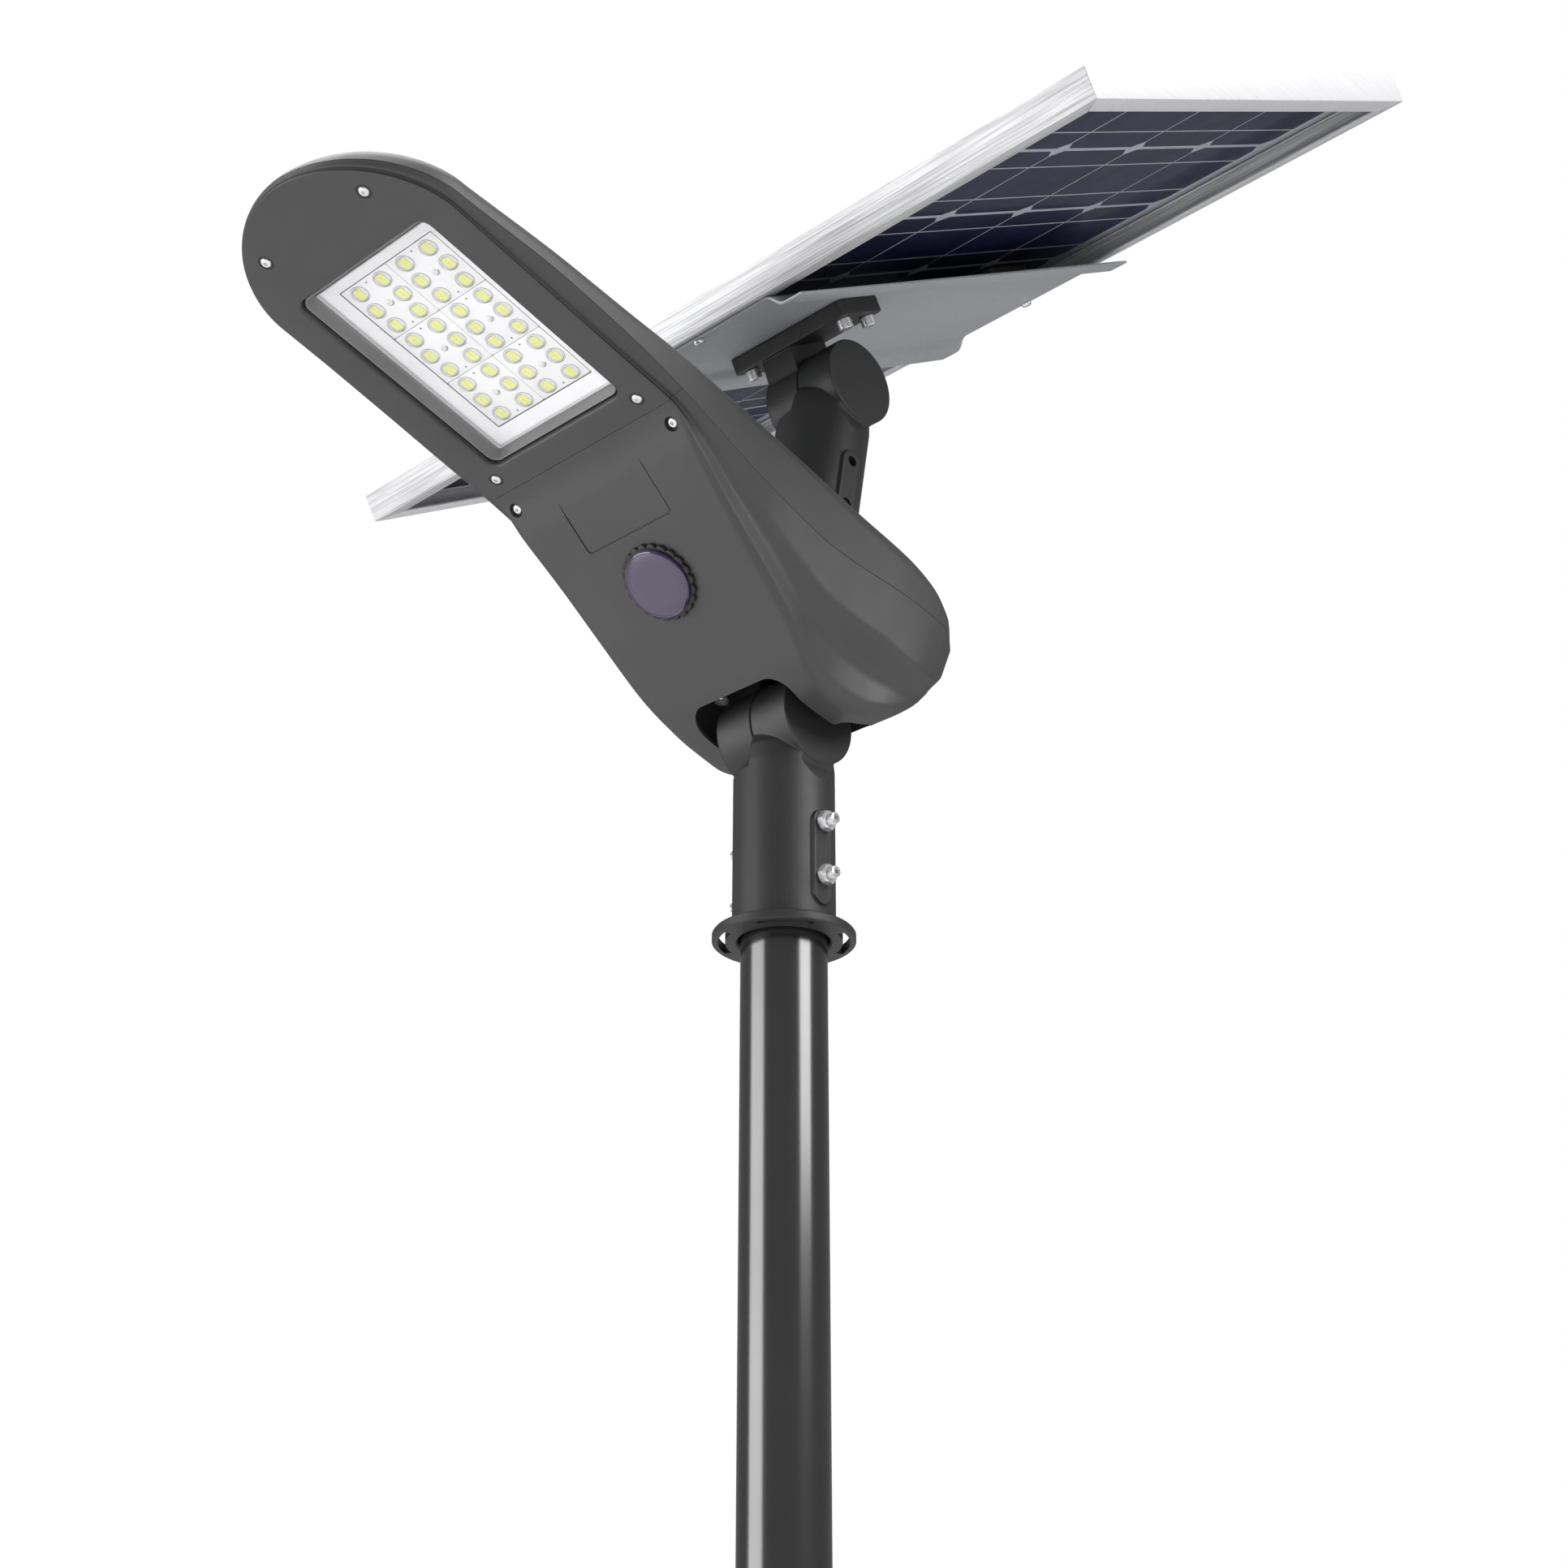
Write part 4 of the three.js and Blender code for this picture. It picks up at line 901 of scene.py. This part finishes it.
def tube(name, inside, z0, z1, edge, sides):
    """An open pipe of the spigot's diameter with eased ends."""
    return lathe(name, [(inside, z0), (30 - edge, z0), (30, z0 + edge), (30, z1 - edge),
                        (30 - edge, z1), (inside, z1), (inside, z0)], sides)


def make_tubes():
    pole = tube("pole", 27, 0, KNUCKLE.z - 53, 0.8, 160)
    settle(pole, "pole_tube", PAINT_POLE, "mast", Matrix.Identity(4), "pole", "pole_section", angle=40)
    post = tube("post", 26.5, -199, -53, 0.6, 128)
    settle(post, "neck_tube", PAINT_BLACK, "head", POST, "casting", "neck_post", angle=40)


# ------ light engine
LENS_PITCH = 48.0
LENS_MID = -343.8


def outline_ring(name, stages):
    """A closed frame from rounded-rectangle stages of (half width, y0, y1, corner, z)."""
    return rings(name, [[(x, y, z) for x, y in rounded(half, y0, y1, corner, 10)]
                        for half, y0, y1, corner, z in stages], True)


def insets(half, y0, y1, steps):
    """Stages from (inset at the sides, at the low end, at the high end, corner, z) steps."""
    return [(half - side, y0 + low, y1 - high, corner, z) for side, low, high, corner, z in steps]


def make_window():
    half, y0, y1, face = BEZEL["half"] - 0.3, BEZEL["y0"] + 0.3, BEZEL["y1"] - 0.3, BEZEL["sunk"]
    bezel = outline_ring("bezel", insets(half, y0, y1, [
        (0, 0, 0, 8.7, 14.3), (0, 0, 0, 8.7, face + 1.2), (0.4, 0.4, 0.4, 8.3, face + 0.3),
        (1.1, 1.1, 0.9, 7.6, face), (1.8, 1.8, 1.3, 7, face + 0.3), (3.4, 3.0, 2.3, 4.0, 8.6),
        (3.8, 3.4, 2.5, 3.6, 9.4), (6.0, 5.8, 3.8, 1.6, 14.3)]))
    settle(bezel, "window_bezel", TRIM, "head", LED, "bezel", "bezel", angle=25)
    half, y0, y1 = half - 5.7, y0 + 5.5, y1 - 3.6
    glass = prism("glass", rounded(half, y0, y1, 2.5), 10.2, 12.0)
    settle(rounded_edges(glass, 0.3), "window_pane", GLASS, "head", LED, "window", "window_glass")
    gasket = outline_ring("gasket", insets(half, y0, y1, [
        (0.6, 0.6, 0.4, 1.8, 12.3), (0.6, 0.6, 0.4, 1.8, 14.5), (1.4, 1.4, 1.2, 1.6, 14.5),
        (1.6, 1.6, 1.4, 1.6, 12.9), (1.3, 1.3, 1.1, 1.6, 12.3)]))
    settle(gasket, "window_seal", RUBBER, "head", LED, "gasket", "window_gasket")
    make_tray(half, y0, y1)
    board = prism("board", rounded(50, LENS_MID - 74, LENS_MID + 74, 1), 21.1, 22.7)
    settle(rounded_edges(board, 0.2), "led_circuit_board", MARK, "head", LED, "board", "led_board")


def make_tray(half, y0, y1):
    """The white frame between the window's opening and the six lens modules."""
    front, back = insets(BEZEL["half"], BEZEL["y0"], BEZEL["y1"],
                         [(1, 1, 1, 8, 14.8), (1, 1, 1, 8, 17.4)])
    wide, long = LENS_PITCH + 0.5, LENS_PITCH * 1.5 + 0.5
    mouth = insets(half, y0, y1, [(2.5, 2.6, 2.4, 2.5, 14.8), (3.2, 3.3, 3.1, 2, 15.1)])
    well = insets(wide, LENS_MID - long, LENS_MID + long, [
        (-1.2, -1.2, -1.2, 1.2, 16.6), (0, 0, 0, 1, 17.2), (-0.6, -0.6, -0.6, 1, 17.4)])
    tray = outline_ring("tray", [front] + mouth + well + [back])
    settle(tray, "white_tray", WHITE, "head", LED, "reflector", "reflector_tray", angle=25)


def lens_spots():
    for side in (-1, 1):
        for row in (-1, 0, 1):
            yield side * LENS_PITCH * (0.295 if row == 0 else 0.25), row * LENS_PITCH / 3


def oval_shell(radius_x, radius_y, dome, rings_up=7, sides=36):
    """A low oval dome standing out from z = 0 towards -z."""
    loops = []
    for step in range(rings_up + 1):
        angle = step / rings_up * pi / 2
        size = max(cos(angle), 0.02)
        loops.append([(radius_x * x, radius_y * y, -dome * sin(angle))
                      for x, y in regular(size, sides)])
    return rings("dome", loops)


def oval_collar(radius_x, radius_y, z, high=0.3, inside=0.975, sides=36):
    """The thin raised rim round a lens."""
    stages = ((1.0, z), (1.0, z - high), (inside, z - high), (inside, z))
    return rings("collar", [[(radius_x * x, radius_y * y, level) for x, y in regular(size, sides)]
                            for size, level in stages], True)


def ribbon(name, stages, z0, z1):
    """A flat curved strip from (radius x, radius y, width inwards, angle) stages."""
    outer = [(rx * cos(angle), ry * sin(angle)) for rx, ry, _, angle in stages]
    inner = [((rx - width) * cos(angle), (ry - width) * sin(angle))
             for rx, ry, width, angle in stages]
    return prism(name, outer + inner[::-1], z0, z1)


def arc_strip(radius_x, radius_y, width, start, end, z):
    """A tapering crescent, the dark line that the lens edge shows."""
    return ribbon("arc", [(radius_x, radius_y,
                           width * sin((angle - start) / (end - start) * pi) + 0.08, angle)
                          for angle in np.linspace(start, end, 22)], z, z + 0.15)


def spiral_wire(radius, turns, width, z):
    """The wound spring under a module's screw, drawn in as a flat spiral."""
    sweep = turns * 2 * pi
    return ribbon("spiral", [(radius * (1 - 0.75 * angle / sweep),) * 2 + (width, angle)
                             for angle in np.linspace(0, sweep, 46)], z, z + 0.2)


def make_lens(face):
    """One LED of four dies under its oval lens, with the crescents seen in the lens edge."""
    parts = []
    for x in (-1.75, 1.75):
        for y in (-2.05, 2.05):
            die = block("die", (x - 1.65, y - 1.95, face - 0.35), (x + 1.65, y + 1.95, face + 0.1))
            parts.append(painted(die, CHIP))
    parts.append(painted(oval_collar(6.9, 6.4, face), LENS_RIM))
    parts.append(painted(moved(oval_shell(6.4, 5.9, 3.4), shift(0, 0, face - 0.9)), LENS))
    for crescent in ((6.2, 5.7, 0.7, 0.5, 2.6), (5.7, 5.2, 0.4, 3.5, 5.4), (4.9, 4.5, 0.3, 2.0, 3.8)):
        parts.append(painted(arc_strip(*crescent, face - 0.75), LENS_RIM))
    return parts


def make_lens_module(number, x, y, face=17.3):
    half = LENS_PITCH / 2 - 0.28
    plate = rounded_edges(prism("plate", rounded(half, -half, half, 0.8, 3), face, 19.5), 0.15)
    parts = [painted(plate, WHITE)]
    for spot_x, spot_y in lens_spots():
        parts += [moved(part, shift(spot_x, spot_y, 0)) for part in make_lens(face)]
    profile = [(0, face), (2.3, face), (2.3, face - 0.6), (1.6, face - 1.2), (0, face - 1.3)]
    slot = block("slot", (-1.2, -0.25, face - 2), (1.2, 0.25, face - 0.8))
    parts.append(painted(combine(lathe("screw", profile, 32), [slot]), WHITE))
    parts.append(painted(spiral_wire(3.4, 1.6, 0.45, face - 0.3), LENS_RIM))
    for dot_y in (-20.5, 20.5):
        profile = [(0, face - 0.25), (0.55, face - 0.25), (0.7, face), (0, face + 0.1)]
        parts.append(painted(moved(lathe("dot", profile, 20), shift(0, dot_y, 0)), MARK))
    settle(joined("module", parts), f"lens_module_{number}", None, "head", LED @ shift(x, y, 0),
           "lens", f"lens_plate_{number}")


def make_light_engine():
    make_window()
    for along in range(3):
        for across in range(2):
            make_lens_module(along * 2 + across + 1, (across - 0.5) * LENS_PITCH,
                             LENS_MID + (along - 1) * LENS_PITCH)


# ------ sensor
SENSOR = BELLY @ shift(0, SENSOR_AT, 0) @ FLIP
RING_RADIUS = 29.2
RING_TEETH = 22


def cog(scale, z, steps=10):
    """The ring's outline, with a rounded notch between every two teeth."""
    loop = []
    for step in range(RING_TEETH * steps):
        phase = (step % steps) / steps
        notch = 1.9 * exp(-((phase - 0.5) / 0.17) ** 2)
        radius = (RING_RADIUS - notch) * scale
        angle = 2 * pi * step / (RING_TEETH * steps)
        loop.append((radius * cos(angle), radius * sin(angle), z))
    return loop


def make_sensor():
    """Castellated socket ring and twist-in lens; local Z points away from the belly."""
    ring = rings("ring", [cog(1.0, 0.3), cog(1.0, 2.2), cog(0.99, 2.8), cog(0.97, 3.2)])
    combine(ring, [cylinder("stem", 13.5, -12, 2)], "UNION")
    combine(ring, [cylinder("hole", 8, -8, 12)])
    settle(ring, "sensor_socket_ring", BLACK, "head", SENSOR, "black_plastic", "sensor_socket", angle=40)
    rim = lathe("rim", [(0, 3.5), (25.3, 3.5), (25.8, 4.0), (25.8, 5.0), (25.3, 5.9), (24.4, 6.5),
                        (23.7, 6.4), (23.7, 5.2), (0, 5.2)], 128)
    combine(rim, [cylinder("post", 7.6, -6, 4)], "UNION")
    settle(rim, "sensor_lens_rim", PURPLE_EDGE, "sensor", SENSOR, "sensor", "sensor_lens", angle=30)
    disc = lathe("disc", [(0, 5.3), (23.6, 5.3), (23.6, 6.2), (23.2, 6.45), (15, 6.6), (7, 6.7),
                          (0, 6.7)], 128)
    settle(disc, "sensor_lens_face", PURPLE, "sensor", SENSOR, "sensor", angle=40)


# ------ panel
CELL_COUNT = (7, 4)
CELL_PITCH = (107.1, 107.7)
CELL_SIZE = (102.6, 105.3)
CELL_CORNER = 8.0
CELL_THICK = 0.2
BUSBAR = dict(across=26, half=0.8, proud=0.06, thick=0.12)
LAMINATE = (16.8, 20.8)


def rail_section():
    depth, wall, flange, lip = PANEL_SIZE[2], 2.0, 18.0, 8.0
    shelf, lip_under = LAMINATE[0] - 0.3, LAMINATE[1] + 0.3
    return [(0, 0), (flange, 0), (flange, wall), (wall, wall), (wall, shelf - wall), (lip, shelf - wall),
            (lip, shelf), (wall, shelf), (wall, lip_under), (lip, lip_under), (lip, depth), (0, depth)]


def make_rail(length, span, turn, name, material, node, drilled):
    loops = [[(side * (length / 2 - inward - 0.12), -span / 2 + inward, z)
              for inward, z in rail_section()] for side in (-1, 1)]
    rail = rounded_edges(rings("rail", loops), 0.5, 40, 3)
    if drilled:
        combine(rail, holes([(0, -span / 2 + 11)], 2.8, -20, 10))
    settle(rail, name, material, "panel", PANEL @ spin(turn, "Z"), "frame", node,
           angle=30)


def cell_outline():
    """A square cell with its four corners cut off."""
    half_x, half_y, cut = CELL_SIZE[0] / 2, CELL_SIZE[1] / 2, CELL_CORNER
    return [(half_x - cut, -half_y), (half_x, -half_y + cut), (half_x, half_y - cut),
            (half_x - cut, half_y), (-half_x + cut, half_y), (-half_x, half_y - cut),
            (-half_x, -half_y + cut), (-half_x + cut, -half_y)]


def make_laminate():
    half_x, half_y = PANEL_SIZE[0] / 2 - 2.3, PANEL_SIZE[1] / 2 - 2.3
    sheet = rounded_edges(prism("sheet", rounded(half_x, -half_y, half_y, 2), *LAMINATE), 0.3)
    parts = [painted(sheet, CELL_LINE)]
    back, front = LAMINATE[0] - 0.12, LAMINATE[1] - 0.08
    for z, low in ((back, back - BUSBAR["proud"]),
                   (front, front + CELL_THICK - BUSBAR["proud"])):
        for column in range(CELL_COUNT[0]):
            for row in range(CELL_COUNT[1]):
                x = (column - (CELL_COUNT[0] - 1) / 2) * CELL_PITCH[0]
                y = (row - (CELL_COUNT[1] - 1) / 2) * CELL_PITCH[1]
                cell = moved(prism("cell", cell_outline(), z, z + CELL_THICK), shift(x, y, 0))
                parts.append(painted(cell, CELL))
                for side in (-1, 1):
                    middle = x + side * BUSBAR["across"]
                    strip = block("busbar", (middle - BUSBAR["half"], y - CELL_SIZE[1] / 2, low),
                                  (middle + BUSBAR["half"], y + CELL_SIZE[1] / 2,
                                   low + BUSBAR["thick"]))
                    parts.append(painted(strip, CELL_LINE))
    settle(joined("laminate", parts), "solar_cells", None, "panel", PANEL, "laminate",
           "solar_laminate")


def channel_outline():
    """The folded sheet's section: its middle line with rounded bends, thickened both ways."""
    web, drop, flare, lip = 76.0, 10.0, 8.0, 22.0
    half = [(0, -1.3), (web, -1.3), (web + flare, -drop - 1), (web + flare + lip - 1.5, -drop - 1)]
    line = filleted(half, [0, 5, 5, 0], 6)
    line = [(-x, z) for x, z in line[:0:-1]] + [(x, z) for x, z in line]
    upper, lower = [], []
    for index, point in enumerate(line):
        before, after = line[max(index - 1, 0)], line[min(index + 1, len(line) - 1)]
        along = np.array(after) - np.array(before)
        normal = np.array((-along[1], along[0])) / np.linalg.norm(along)
        upper.append(np.array(point) + normal)
        lower.append(np.array(point) - normal)
    return [tuple(point) for point in lower + upper[::-1]]


def make_panel():
    width, length, _ = PANEL_SIZE
    make_rail(width, length, 0, "frame_low", ALU_LONG, "frame_rail_low", True)
    make_rail(width, length, pi, "frame_high", ALU_LONG, "frame_rail_high", True)
    make_rail(length, width, pi / 2, "frame_right", ALU_SHORT, "frame_rail_right", False)
    make_rail(length, width, -pi / 2, "frame_left", ALU_SHORT, "frame_rail_left", False)
    make_laminate()
    channel = rings("channel", [[(x, y, z) for x, z in channel_outline()] for y in (-236, 236)])
    rounded_edges(channel, 0.3, 60, 2)
    combine(channel, holes(PLATE_BOLTS, 3.3, -60, 10) + holes(CHANNEL_SCREWS, 2.8, -20, 10))
    settle(channel, "mounting_channel", SHEET, "panel", PANEL, "channel", "hat_channel", angle=30)
    dress("junction_box", BLACK, 1.0)


# ------ build
make_camera()
make_studio()
make_head()
make_cover_screws()
make_sleeve_screws()
make_plate_screws()
make_clamp_bolts()
make_casting(LOWER, "coupling", "lower_sleeve")
make_casting(POST, "panel_coupling", "upper_sleeve")
make_arms()
make_tubes()
make_light_engine()
make_sensor()
make_panel()
dress("battery_pack", BATTERY, 1.0)
dress("charge_controller", BLACK, 0.8)
